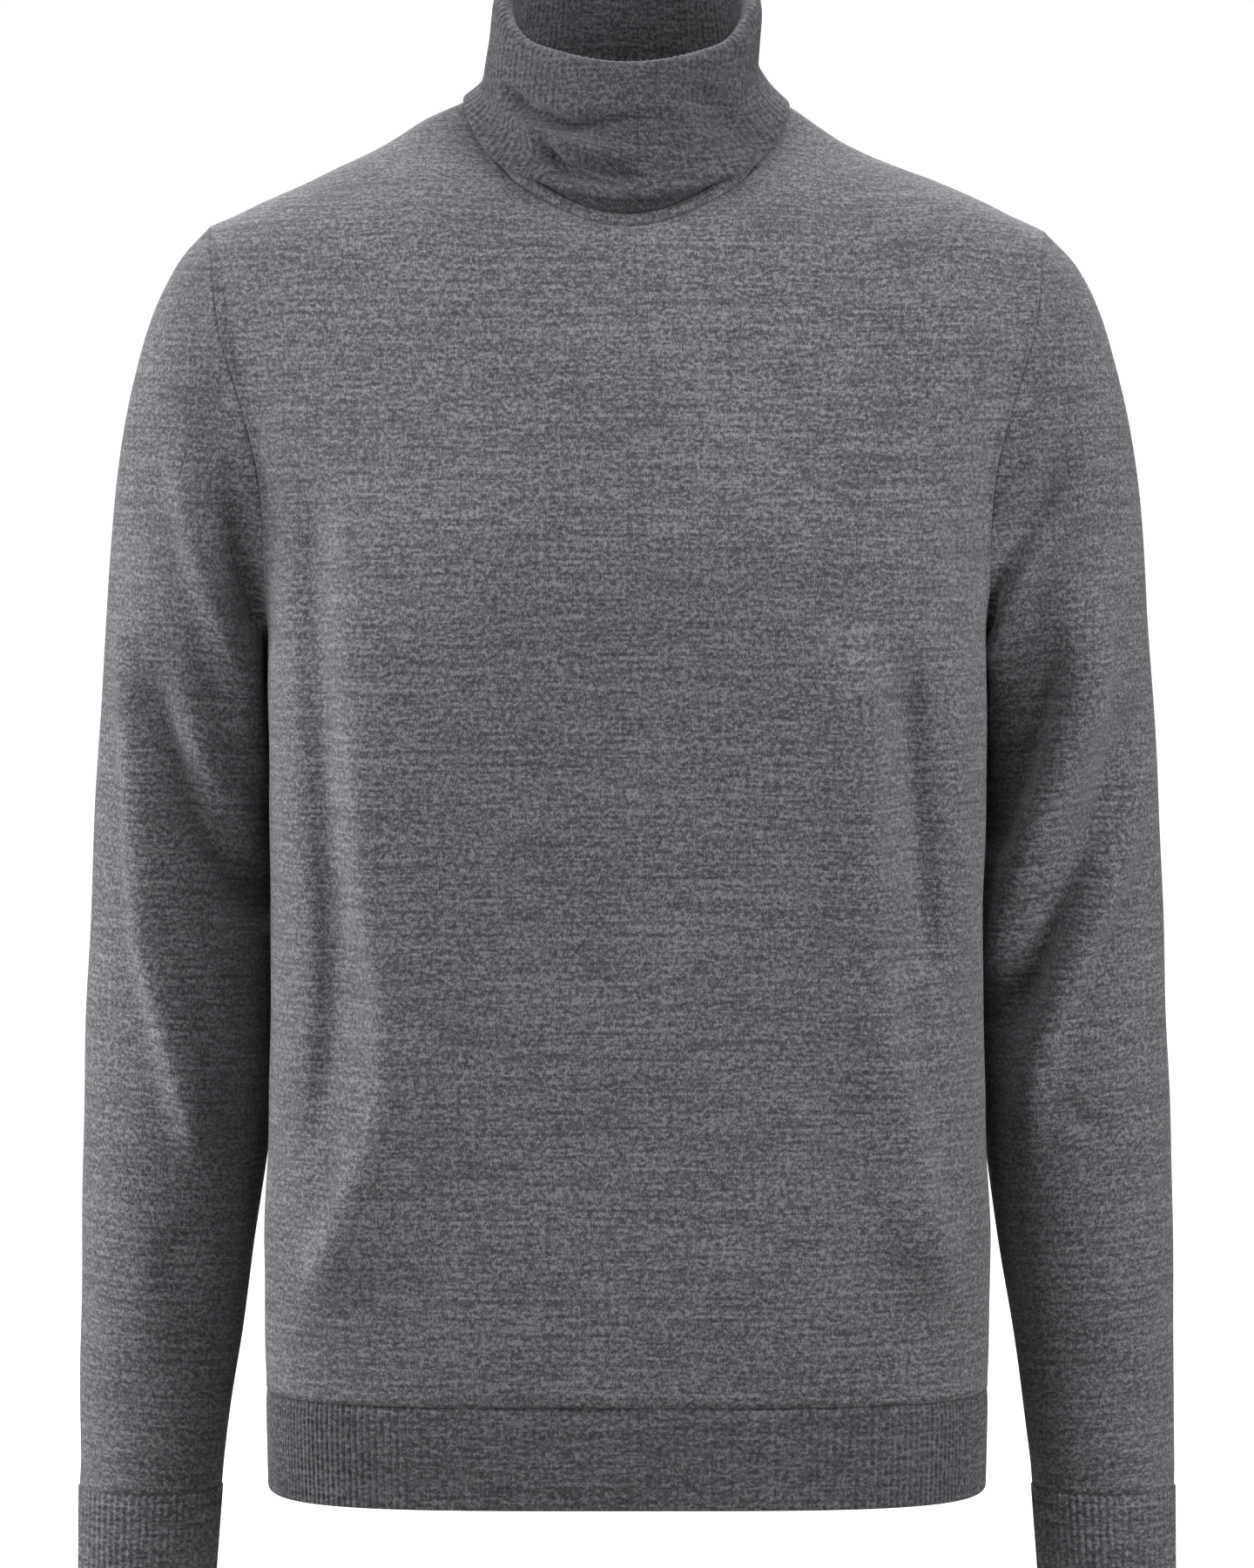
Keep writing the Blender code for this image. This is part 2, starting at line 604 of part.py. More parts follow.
def sleeve(hand):
    """A sleeve. It is made for the wearer's left and turned over for the right, then folded."""
    points, normals = sleeve_surface()
    normals[0] = armhole_mitre()[1]
    along = unit(np.roll(points[0], -1, axis=0) - np.roll(points[0], 1, axis=0))
    away = points[1] - points[0]
    away = unit(away - (away * along).sum(axis=1, keepdims=True) * along)
    points[0] += away * SEAM_GAP * SLANT
    points[-1, :, 2] += SEAM_GAP / 2
    if hand == "right":
        points = points * (-1, 1, 1)
        normals = normals * (-1, 1, 1)
        front, back = RIGHT_SLEEVE_FRONT, RIGHT_SLEEVE_BACK
    else:
        front, back = LEFT_SLEEVE_FRONT, LEFT_SLEEVE_BACK
    facing = normals[..., 1] * SIDE_FADE
    lift = np.clip(-facing, 0, 1) * fold_relief(points, front)
    lift += np.clip(facing, 0, 1) * fold_relief(points, back)
    ring = np.arange(len(points))
    settled = np.clip(np.minimum(ring, ring[::-1]) / SETTLED_RINGS, 0, 1)
    outer = points + normals * (lift * settled[:, None])[..., None]
    return node(f"{hand}_sleeve", wall(outer, outer - normals * JERSEY_WALL, closed=True), JERSEY)


def cuff(hand):
    """A ribbed cuff, ribs outside and plain inside."""
    fine, coarse = 2 * CUFF_RIBS, 2 * CUFF_RIBS // CUFF_SHARE
    sheets = []
    for count in (fine, coarse):
        points = np.array([station_ring(station, None, None, count) for station in CUFF])
        points[0, :, 2] -= SEAM_GAP / 2
        normals = unit(outward(points, grid_normals(points, closed=True)) * (1, 1, 0))
        if count == fine:
            sheets.append(ribbed(points - normals * RIB_RELIEF / 2, normals, crest_columns=0))
        else:
            sheets.append(points - normals * (RIB_WALL + RIB_RELIEF / 2))
    if hand == "right":
        sheets = [sheet * (-1, 1, 1) for sheet in sheets]
    return node(f"{hand}_cuff", wall(*sheets, closed=True), RIB, sharp_degrees=80)


# ================================================================ the neck


def neck_turns(columns):
    """Equal turns round the neck, from the front to the wearer's left, the back, and the right."""
    return np.linspace(0, 2 * math.pi, columns, endpoint=False)


def neck_ring(ring, columns):
    """One ring of the roll neck."""
    turn = neck_turns(columns)
    depth = np.where(np.cos(turn) > 0, ring.front, ring.back)
    share = 1 - np.abs(1 - turn / math.pi)
    x, y = ring.half_width * np.sin(turn), -depth * np.cos(turn)
    return np.stack([x, y, ring_height(ring, share)], axis=1)


def neckline(columns):
    """The whole neckline on the body's surface, at equal turns."""
    turn = neck_turns(columns)
    share = 1 - np.abs(1 - turn / math.pi)
    x, z = NECKLINE.half_width * np.sin(turn), ring_height(NECKLINE, share)
    front = -body_depth(x, z, "front")
    return np.stack([x, np.where(share < 0.5, front, body_depth(x, z, "back")), z], axis=1)


def band_rise(low):
    """The linked band over points of the neckline: its top, and the directions up and outwards."""
    high = low * (BAND_LEAN, BAND_LEAN, 1) + (0, 0, BAND_RISE)
    up = unit(high - low)
    around = np.roll(low, -1, axis=0) - np.roll(low, 1, axis=0)
    return high, up, unit(np.cross(around, up))


def collar_sag(points, index):
    """How far the roll neck's creases move one of its rings outwards."""
    turn = np.arctan2(points[:, 0], -points[:, 1])
    lift = np.zeros(len(points))
    for crease in ROLL_CREASES:
        if crease.ring == index:
            lift += crease.height * np.exp(-(((turn - crease.turn) / crease.reach) ** 2))
    return lift


def collar_rings(columns):
    """The middle of the roll neck's fabric, and the direction square to it."""
    top, up, across = band_rise(neckline(columns))
    foot = top + up * COLLAR_SEAT - across * JERSEY_WALL / 2
    points = np.array([foot, *(neck_ring(ring, columns) for ring in COLLAR)])
    normals = grid_normals(points, closed=True)
    if normals[-1, 0, 1] > 0:
        normals = -normals
    normals[0] = -across
    for index, ring in enumerate(points):
        points[index] = ring + normals[index] * collar_sag(ring, index)[:, None]
    return points, normals


def collar():
    """The folded roll neck. Ribs stand on the face that shows; the face folded away is plain."""
    half = RIB_WALL / 2
    points, normals = collar_rings(2 * COLLAR_RIBS)
    shown = ribbed(points + normals * half, normals, crest_columns=0)
    points, normals = collar_rings(2 * COLLAR_RIBS // COLLAR_SHARE)
    hidden = points - normals * half
    return node("roll_neck", wall(shown, hidden, closed=True), RIB, sharp_degrees=80)


def neckline_mitre():
    """The panels' points along the neckline, and the direction through both walls there."""
    front, back = neckline_row("front", FRONT_COLUMNS), neckline_row("back", BACK_COLUMNS)[-2:0:-1]
    low = np.concatenate([front, back])
    body = np.concatenate([body_normals(front, "front"), body_normals(back, "back")])
    return low, unit(band_rise(low)[2] + body)


def neck_band():
    """The narrow linked band between the panels' neckline and the roll neck."""
    low, mitre = neckline_mitre()
    high, up, across = band_rise(low)
    outer = np.array([low + up * SEAM_GAP * SLANT, high])
    normals = np.array([mitre, across])
    return node("neck_band", wall(outer, outer - normals * JERSEY_WALL, closed=True), JERSEY)


# ================================================================ assembly


def clear_scene():
    for obj in list(bpy.data.objects):
        bpy.data.objects.remove(obj, do_unlink=True)


def main():
    clear_scene()
    for side in ("front", "back"):
        panel(side)
        hem_band(side)
    for hand in ("left", "right"):
        sleeve(hand)
        cuff(hand)
    neck_band()
    collar()


main()
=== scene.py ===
"""A fine-knit roll-neck sweater with long set-in sleeves, filled out as it is worn.

The wearer's front is towards -Y and the wearer's left towards +X. Tables are in millimetres, and
meshes are made in metres.
"""

from __future__ import annotations

import logging
import math
from dataclasses import dataclass
from enum import Enum

import bmesh
import bpy
import numpy as np
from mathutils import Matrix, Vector

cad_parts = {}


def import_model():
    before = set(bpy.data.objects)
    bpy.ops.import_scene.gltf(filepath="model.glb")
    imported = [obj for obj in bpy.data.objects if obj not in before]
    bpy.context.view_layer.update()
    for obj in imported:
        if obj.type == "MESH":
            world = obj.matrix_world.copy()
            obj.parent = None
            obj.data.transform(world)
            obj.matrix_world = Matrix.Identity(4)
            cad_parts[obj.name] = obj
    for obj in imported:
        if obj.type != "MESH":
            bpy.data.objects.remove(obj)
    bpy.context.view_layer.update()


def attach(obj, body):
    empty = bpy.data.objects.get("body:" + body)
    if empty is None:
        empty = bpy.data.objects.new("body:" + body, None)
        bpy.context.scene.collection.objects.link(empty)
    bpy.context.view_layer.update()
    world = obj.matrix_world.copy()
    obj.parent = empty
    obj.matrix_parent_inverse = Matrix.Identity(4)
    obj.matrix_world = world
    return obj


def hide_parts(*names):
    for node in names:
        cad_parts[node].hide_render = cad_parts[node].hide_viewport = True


MM = 0.001
TINY = 1e-12
MERGE_DISTANCE = 1e-6
WHITE = (1.0, 1.0, 1.0, 1.0)
LOG = logging.getLogger("sweater")
Table = tuple[tuple[float, ...], ...]
Colour = tuple[float, float, float]
Socket = bpy.types.NodeSocket
Feed = dict[int | str, object]


class Side(Enum):
    """The wearer's front or back."""

    FRONT = "front"
    BACK = "back"

    @property
    def towards(self) -> float:
        """The sign of Y on this side."""
        return -1.0 if self is Side.FRONT else 1.0


class Hand(Enum):
    """The wearer's left or right."""

    LEFT = "left"
    RIGHT = "right"

    @property
    def towards(self) -> float:
        """The sign of X on this side."""
        return 1.0 if self is Hand.LEFT else -1.0


# ---------------------------------------------------------------- curves


def smooth(places: np.ndarray, values: np.ndarray, wanted: np.ndarray) -> np.ndarray:
    """Reads a smooth curve through a table's values, without overshoot.

    Args:
        places: Where the values stand, rising or falling.
        values: The table's values.
        wanted: Where the curve is read.

    Returns:
        The curve's values at the wanted places.
    """
    places, values = np.asarray(places, float), np.asarray(values, float)
    if places[0] > places[-1]:
        places, values = places[::-1], values[::-1]
    wanted = np.clip(np.asarray(wanted, float), places[0], places[-1])
    steps = np.diff(places)
    rises = np.diff(values) / steps
    slopes = np.zeros_like(values)
    slopes[0], slopes[-1] = rises[0], rises[-1]
    before, after = rises[:-1], rises[1:]
    early, late = steps[:-1] + 2 * steps[1:], 2 * steps[:-1] + steps[1:]
    same = before * after > 0
    mean = early[same] / before[same] + late[same] / after[same]
    slopes[1:-1][same] = (early + late)[same] / mean
    i = np.clip(np.searchsorted(places, wanted) - 1, 0, len(steps) - 1)
    h = steps[i]
    t = (wanted - places[i]) / h
    return (
        (1 + 2 * t) * (1 - t) ** 2 * values[i]
        + t * (1 - t) ** 2 * h * slopes[i]
        + t * t * (3 - 2 * t) * values[i + 1]
        + t * t * (t - 1) * h * slopes[i + 1]
    )


def unit(vectors: np.ndarray) -> np.ndarray:
    """The same vectors at length 1."""
    return vectors / np.maximum(np.linalg.norm(vectors, axis=-1, keepdims=True), TINY)


def ease(value: np.ndarray) -> np.ndarray:
    """A soft step from 0 to 1 over the same range."""
    value = np.clip(value, 0, 1)
    return value * value * (3 - 2 * value)


def smooth_rows(places: np.ndarray, rows: np.ndarray, wanted: np.ndarray) -> np.ndarray:
    """Reads a smooth curve through each column of a table that has a row at each place."""
    return np.stack([smooth(places, column, wanted) for column in rows.T], axis=1)


def bell(distance: np.ndarray, reach: float | np.ndarray) -> np.ndarray:
    """1 at no distance, dying away over the reach."""
    return np.exp(-((distance / reach) ** 2))


def spread(points: np.ndarray, count: int, bend_length: float = 45.0) -> np.ndarray:
    """Divides a curve into steps that are shorter where it bends.

    Args:
        points: The curve, finely sampled.
        count: The number of steps.
        bend_length: The length that one radian of bend counts for.

    Returns:
        count + 1 points of the curve.
    """
    steps = np.diff(points, axis=0)
    along = unit(steps)
    bends = np.arccos(np.clip((along[1:] * along[:-1]).sum(axis=1), -1, 1))
    measure = np.linalg.norm(steps, axis=1)
    measure[1:] += bends * bend_length
    reach = np.concatenate([[0], np.cumsum(measure)])
    wanted = np.linspace(0, reach[-1], count + 1)
    return np.stack([np.interp(wanted, reach, points[:, k]) for k in range(3)], axis=1)


def lengths_across(grid: np.ndarray) -> np.ndarray:
    """The length along each row of a grid of points, from its first column."""
    steps = np.linalg.norm(np.diff(grid, axis=1), axis=-1)
    return np.concatenate([np.zeros((len(grid), 1)), np.cumsum(steps, axis=1)], axis=1)


def lengths_down(grid: np.ndarray) -> np.ndarray:
    """The length along each column of a grid of points, from its first row."""
    return lengths_across(grid.transpose(1, 0, 2)).T


def close(ring: np.ndarray) -> np.ndarray:
    """A ring with its first point repeated at its end."""
    return np.concatenate([ring, ring[:1]])


def grid_normals(grid: np.ndarray, closed: bool) -> np.ndarray:
    """Directions square to a grid of points.

    Args:
        grid: Rows and columns of points. The last column of a closed grid repeats the first.
        closed: Whether the rows close into rings.

    Returns:
        A unit vector for each point.
    """
    if closed:
        ring = grid[:, :-1]
        around = np.roll(ring, -1, axis=1) - np.roll(ring, 1, axis=1)
        around = np.array([close(row) for row in around])
    else:
        around = np.gradient(grid, axis=1)
    return unit(np.cross(around, np.gradient(grid, axis=0)))


# ---------------------------------------------------------------- folds and small unevenness


class Run(Enum):
    """The way that a fold runs, as the column of a point that grows or falls along it."""

    DOWN = 2
    ACROSS = 0


@dataclass(frozen=True)
class Fold:
    """A ridge or trough seen from the front or back, along a path of (x, z) points.

    A positive height is a ridge and a negative one a trough. reach is its width from the crest to
    its foot, lean makes one flank steeper than the other, and fade is the length over which the
    fold grows at its start and dies away at its end, from a share that is there at both.
    """

    path: Table
    height: float
    reach: float
    fade: tuple[float, float] = (45.0, 45.0)
    lean: float = 0.0
    run: Run = Run.DOWN
    least: float = 0.06
    step: float = 1.5

    def lift(self, points: np.ndarray) -> np.ndarray:
        """How far the fold moves each point out, in millimetres."""
        path = np.array(self.path, float)
        if self.run is Run.ACROSS:
            path = path[:, ::-1]
        side, main = path[:, 0], path[:, 1]
        place, aside = points[..., self.run.value], points[..., 2 - self.run.value]
        held = np.clip(place, main.min(), main.max())
        ahead, behind = (smooth(main, side, held + step) for step in (self.step, -self.step))
        slope = (ahead - behind) / (2 * self.step)
        off = (aside - smooth(main, side, held)) / np.sqrt(1 + slope**2)
        reach = self.reach * np.where(off > 0, 1 + self.lean, 1 - self.lean)
        grown = ease(np.abs(held - main[0]) / self.fade[0] + self.least)
        left = ease(np.abs(main[-1] - held) / self.fade[1] + self.least)
        past = (place - held) / self.reach
        return self.height * grown * left * bell(off, reach) * bell(past, 1.0)


def lift_of(folds: tuple[Fold, ...], points: np.ndarray) -> np.ndarray:
    """How far several folds together move each point out."""
    return sum((fold.lift(points) for fold in folds), np.zeros(points.shape[:-1]))


@dataclass(frozen=True)
class Unevenness:
    """The slight waviness of a soft cloth, as a few waves that cross each other."""

    seed: int
    height: float = 0.35
    shortest: float = 38.0
    longest: float = 120.0
    waves: int = 14
    upright: float = 0.55

    def lift(self, points: np.ndarray) -> np.ndarray:
        """How far the waves move each point out, in millimetres."""
        pick = np.random.default_rng(self.seed)
        lift = np.zeros(points.shape[:-1])
        for _ in range(self.waves):
            way = unit(pick.normal(size=3) * (1.0, 1.0, self.upright))
            pitch = pick.uniform(self.shortest, self.longest)
            phase = pick.uniform(0, 2 * math.pi)
            lift += np.sin(points @ way * 2 * math.pi / pitch + phase)
        return lift * self.height / math.sqrt(self.waves / 2)


# ---------------------------------------------------------------- the form that the cloth lies on


@dataclass(frozen=True)
class BodyForm:
    """The body's horizontal sections, and the armhole's edge as seen from the front."""

    sections: Table = (
        # z, half width, front, back, front squareness, back squareness
        (20, 74, 8, 58, 2.1, 2.1),
        (12, 74, 8, 60, 2.1, 2.1),
        (5, 74, 8, 62, 2.1, 2.1),
        (0.5, 74, 8, 63.2, 2.1, 2.1),
        (-1, 75.4, 9.5, 63.8, 2.1, 2.1),
        (-3, 78.6, 12, 65, 2.15, 2.15),
        (-6, 85.6, 15.5, 66, 2.15, 2.15),
        (-10, 94, 20.5, 67, 2.2, 2.2),
        (-18, 107.5, 30, 70, 2.2, 2.2),
        (-27, 125, 41, 74, 2.2, 2.2),
        (-35, 143, 51, 77, 2.2, 2.2),
        (-44, 162.5, 61, 80, 2.2, 2.2),
        (-52, 183, 69, 83, 2.15, 2.15),
        (-61, 204.5, 77, 87, 2.1, 2.1),
        (-70, 219, 83, 90, 2.1, 2.1),
        (-80, 231, 88, 94, 2.05, 2.05),
        (-100, 238, 97, 101, 2, 2),
        (-116, 235, 103, 105, 2, 2),
        (-135, 225, 109, 109, 2, 2),
        (-157, 210, 115, 112, 2.1, 2),
        (-187, 191, 121, 113, 2.4, 2.2),
        (-225, 180.5, 125, 113, 2.8, 2.35),
        (-250, 176.8, 125, 111, 3.1, 2.4),
        (-265, 175.5, 124, 110, 3.3, 2.4),
        (-330, 175.5, 119, 105, 3.6, 2.4),
        (-420, 174.5, 114, 98, 3.7, 2.4),
        (-500, 175.5, 114, 98, 3.8, 2.5),
        (-560, 178, 116, 102, 3.9, 2.7),
        (-628, 177, 114, 104, 3.9, 2.9),
        (-680, 176, 111, 101, 3.9, 2.9),
    )
    armhole: Table = (
        # z, x
        (-61, 204.5),
        (-70, 202),
        (-80, 200.5),
        (-100, 198.5),
        (-116, 196),
        (-135, 190.5),
        (-157, 184),
        (-187, 177.5),
        (-225, 175),
        (-250, 174.9),
        (-265, 175.5),
    )
    underarm_z: float = -265.0
    tip_z: float = -61.0
    front_tip_middle_z: float = -102.0
    back_tip_middle_z: float = -52.0
    hem_top_z: float = -628.0
    hem_bottom_z: float = -678.0
    neck_top_z: float = 22.0
    widest_x: float = 250.0
    samples: int = 1201

    def column(self, index: int, z: np.ndarray) -> np.ndarray:
        """One column of the sections at height z."""
        table = np.array(self.sections)
        return smooth(table[:, 0], table[:, index], z)

    def half_width(self, z: np.ndarray) -> np.ndarray:
        """Half of the body's width at height z."""
        return self.column(1, z)

    def depth(self, x: np.ndarray, z: np.ndarray, side: Side) -> np.ndarray:
        """How far the surface lies from the plane Y = 0, at (x, z), on one side."""
        front = side is Side.FRONT
        square = self.column(4 if front else 5, z)
        share = np.clip(np.abs(x) / self.half_width(z), 0, 1)
        return self.column(2 if front else 3, z) * (1 - share**square) ** (1 / square)

    def level(self, points: np.ndarray, side: Side) -> np.ndarray:
        """Below 1 inside the surface and above 1 outside it."""
        front = side is Side.FRONT
        x, y, z = points[..., 0], points[..., 1], points[..., 2]
        square = self.column(4 if front else 5, z)
        deep = np.abs(y) / self.column(2 if front else 3, z)
        return (np.abs(x) / self.half_width(z)) ** square + deep**square

    def normals(self, points: np.ndarray, side: Side) -> np.ndarray:
        """The outward direction at points of the surface."""
        step = 0.05
        slopes = [
            self.level(points + step * axis, side) - self.level(points - step * axis, side)
            for axis in np.eye(3)
        ]
        return unit(np.stack(slopes, axis=-1))

    def flat_place(self, points: np.ndarray, side: Side, step: float = 0.5,
                   calm_x: float = 150.0) -> np.ndarray:
        """Lays points of one side out flat, with level courses and upright wales.

        Args:
            points: Points of the surface.
            side: The front or back half of the body.
            step: The spacing of the lengths that are measured over the surface.
            calm_x: How far out the lengths up are measured. Beyond it they stay the same.

        Returns:
            The length round from the middle and the length up from the hem's rib, for each point.
        """
        x = np.arange(0.0, self.widest_x, step)
        z = np.arange(self.hem_bottom_z, self.neck_top_z, step)
        wide, high = np.meshgrid(x, z)
        depth = self.depth(wide, high, side)
        round_it = np.hypot(step, np.diff(depth, axis=1, prepend=depth[:, :1])).cumsum(axis=1)
        up_it = np.hypot(step, np.diff(depth, axis=0, prepend=depth[:1])).cumsum(axis=0)
        k = (points[..., 2] - z[0]) / step
        low = np.clip(k.astype(int), 0, len(z) - 2)
        read = []
        for table, limit in ((round_it, x[-1]), (up_it, calm_x)):
            i = np.minimum(np.abs(points[..., 0]), limit) / step
            left = np.clip(i.astype(int), 0, len(x) - 2)
            a, b = i - left, k - low
            under = (1 - a) * table[low, left] + a * table[low, left + 1]
            over = (1 - a) * table[low + 1, left] + a * table[low + 1, left + 1]
            read.append((1 - b) * under + b * over)
        return np.stack([read[0] * np.sign(points[..., 0]), read[1]], axis=-1)

    def armhole_side(self, side: Side, steps: int) -> np.ndarray:
        """Half of the wearer's left armhole, from the underarm up to the shoulder's tip."""
        rise = (1 - np.cos(np.linspace(0, math.pi, self.samples))) / 2
        z = self.underarm_z + (self.tip_z - self.underarm_z) * rise
        table = np.array(self.armhole)
        x = smooth(table[:, 0], table[:, 1], z)
        depth = self.depth(x, z, side)
        depth[0] = depth[-1] = 0.0
        return spread(np.stack([x, side.towards * depth, z], axis=1), steps)

    def armhole_ring(self, steps: int) -> np.ndarray:
        """The whole left armhole: underarm, up the front, down the back."""
        front, back = self.armhole_side(Side.FRONT, steps), self.armhole_side(Side.BACK, steps)
        return np.concatenate([front, back[-2:0:-1]])

    def armhole_normals(self, steps: int) -> np.ndarray:
        """The outward direction along the whole left armhole, its first one repeated."""
        front, back = (
            self.normals(self.armhole_side(side, steps), side) for side in (Side.FRONT, Side.BACK)
        )
        return close(np.concatenate([front, back[-2:0:-1]]))

    def row(self, edge: tuple[float, float], middle_z: float, side: Side, columns: int,
            roundness: float = 0.0, neck: float = 0.0) -> np.ndarray:
        """One row of a panel, from the wearer's right edge to the left, lying on the body.

        Args:
            edge: The row's x and z at its ends.
            middle_z: Its height in the middle.
            side: The front or back half of the body.
            columns: The number of steps along it.
            roundness: 1 for an arc that rises all the way, 0 for one that rises near its ends.
            neck: How much of the neckline's own curve is mixed in.

        Returns:
            columns + 1 points.
        """
        turn = np.linspace(-math.pi / 2, math.pi / 2, self.samples)
        share = np.sin(turn)
        rise = (1 - roundness) * np.abs(share) ** 3 + roundness * (1 - np.cos(turn))
        x, z = edge[0] * share, middle_z + (edge[1] - middle_z) * rise
        points = self.laid(x, z, side)
        if edge[1] <= self.underarm_z or edge[1] >= self.tip_z:
            points[[0, -1], 1] = 0.0
        if neck > 0:
            quarter = np.abs(turn) / math.pi
            round_share = quarter if side is Side.FRONT else 1 - quarter
            end = self.laid(NECKLINE.half_width * share, NECKLINE.height(round_share), side)
            end[[0, -1], 1] = 0.0
            points = points + neck * (end - points)
        return spread(points, columns)

    def laid(self, x: np.ndarray, z: np.ndarray, side: Side) -> np.ndarray:
        """The points of the body's surface at some places across and up."""
        return np.stack([x, side.towards * self.depth(x, z, side), z], axis=-1)


@dataclass(frozen=True)
class NeckRing:
    """A ring round the neck, with its height at five places from the front to the back.

    shift moves it towards the wearer's left.
    """

    half_width: float
    front: float
    back: float
    heights: tuple[float, ...]
    shift: float = 0.0

    def height(self, share: np.ndarray) -> np.ndarray:
        """The height by the turn from the front (0) to the back (1), level at both."""
        z0, z45, z90, z135, z180 = self.heights
        mirrored = (z45, z0, z45, z90, z135, z180, z135)
        return smooth(np.linspace(-0.25, 1.25, len(mirrored)), np.array(mirrored), share)


NECKLINE = NeckRing(74, 80.5, 60, (-66, -45, 0.5, 11, 13))
FORM = BodyForm()


@dataclass(frozen=True)
class Posture:
    """How much higher or lower the cloth sits across the shoulders, by x, than if even."""

    rises: Table = (
        (-220, -0.8), (-205, -1), (-193, -1), (-180, 0.2), (-150, 0.8), (-125, 1.4),
        (-112, 2.4), (-101, 3.6), (-90, 2.8), (-80, 1.5), (-70, 0.5), (0, 0), (70, -1),
        (84, -1.5), (95, -3), (105, -3.8), (117, -3.3), (139, -2.3), (150, -1.2), (162, -0.4),
        (176, -1.2), (190, -2.8), (203, -3.2), (220, -3),
    )
    low_z: float = -120.0
    low_fade: float = 50.0
    high_z: float = 40.0
    high_fade: float = 35.0

    def settle(self, points: np.ndarray) -> np.ndarray:
        """The points of any piece, with those of the shoulders moved up or down."""
        places, rises = np.array(self.rises).T
        z = points[..., 2]
        held = ease((z - self.low_z) / self.low_fade) * ease((self.high_z - z) / self.high_fade)
        moved = points.copy()
        moved[..., 2] += smooth(places, rises, points[..., 0]) * held
        return moved


POSTURE = Posture()


# ---------------------------------------------------------------- finishes


@dataclass(frozen=True)
class NodeSheet:
    """A node tree that short calls fill. A socket fed to an input is linked, a value is set."""

    tree: bpy.types.NodeTree

    def feed(self, node: bpy.types.Node, inputs: Feed) -> bpy.types.Node:
        """Feeds a node's inputs, by name or number, and returns the node."""
        for key, value in inputs.items():
            if isinstance(value, Socket):
                self.tree.links.new(value, node.inputs[key])
            else:
                node.inputs[key].default_value = value
        return node

    def add(self, kind: str, inputs: Feed | None = None, **settings: object) -> bpy.types.Node:
        """Adds a node.

        Args:
            kind: The shader node's type, less its first two words.
            inputs: What its inputs are fed with.
            settings: The node's own settings.

        Returns:
            The new node.
        """
        node = self.tree.nodes.new(f"ShaderNode{kind}")
        for name, value in settings.items():
            setattr(node, name, value)
        return self.feed(node, inputs or {})

    def math(self, kind: str, *values: object) -> Socket:
        """The sum, product or other result of numbers or sockets."""
        return self.add("Math", dict(enumerate(values)), operation=kind).outputs[0]

    def noise(self, place: Socket, scale: float, detail: float, rough: float = 0.6) -> Socket:
        """A noise between 0 and 1 over a vector."""
        inputs = {"Vector": place, "Scale": scale, "Detail": detail, "Roughness": rough}
        return self.add("TexNoise", inputs).outputs[0]

    def vector(self, x: Socket, y: Socket) -> Socket:
        """A vector from two sockets."""
        return self.add("CombineXYZ", {0: x, 1: y}).outputs[0]

    def mix(self, share: Socket, a: Socket, b: Socket) -> Socket:
        """A mix of two colours."""
        return self.add("Mix", {0: share, 6: a, 7: b}, data_type="RGBA").outputs[2]


@dataclass(frozen=True)
class Streaks:
    """One size of the light and dark streaks in the yarn, in metres along and across a course."""

    length: float
    height: float
    contrast: float


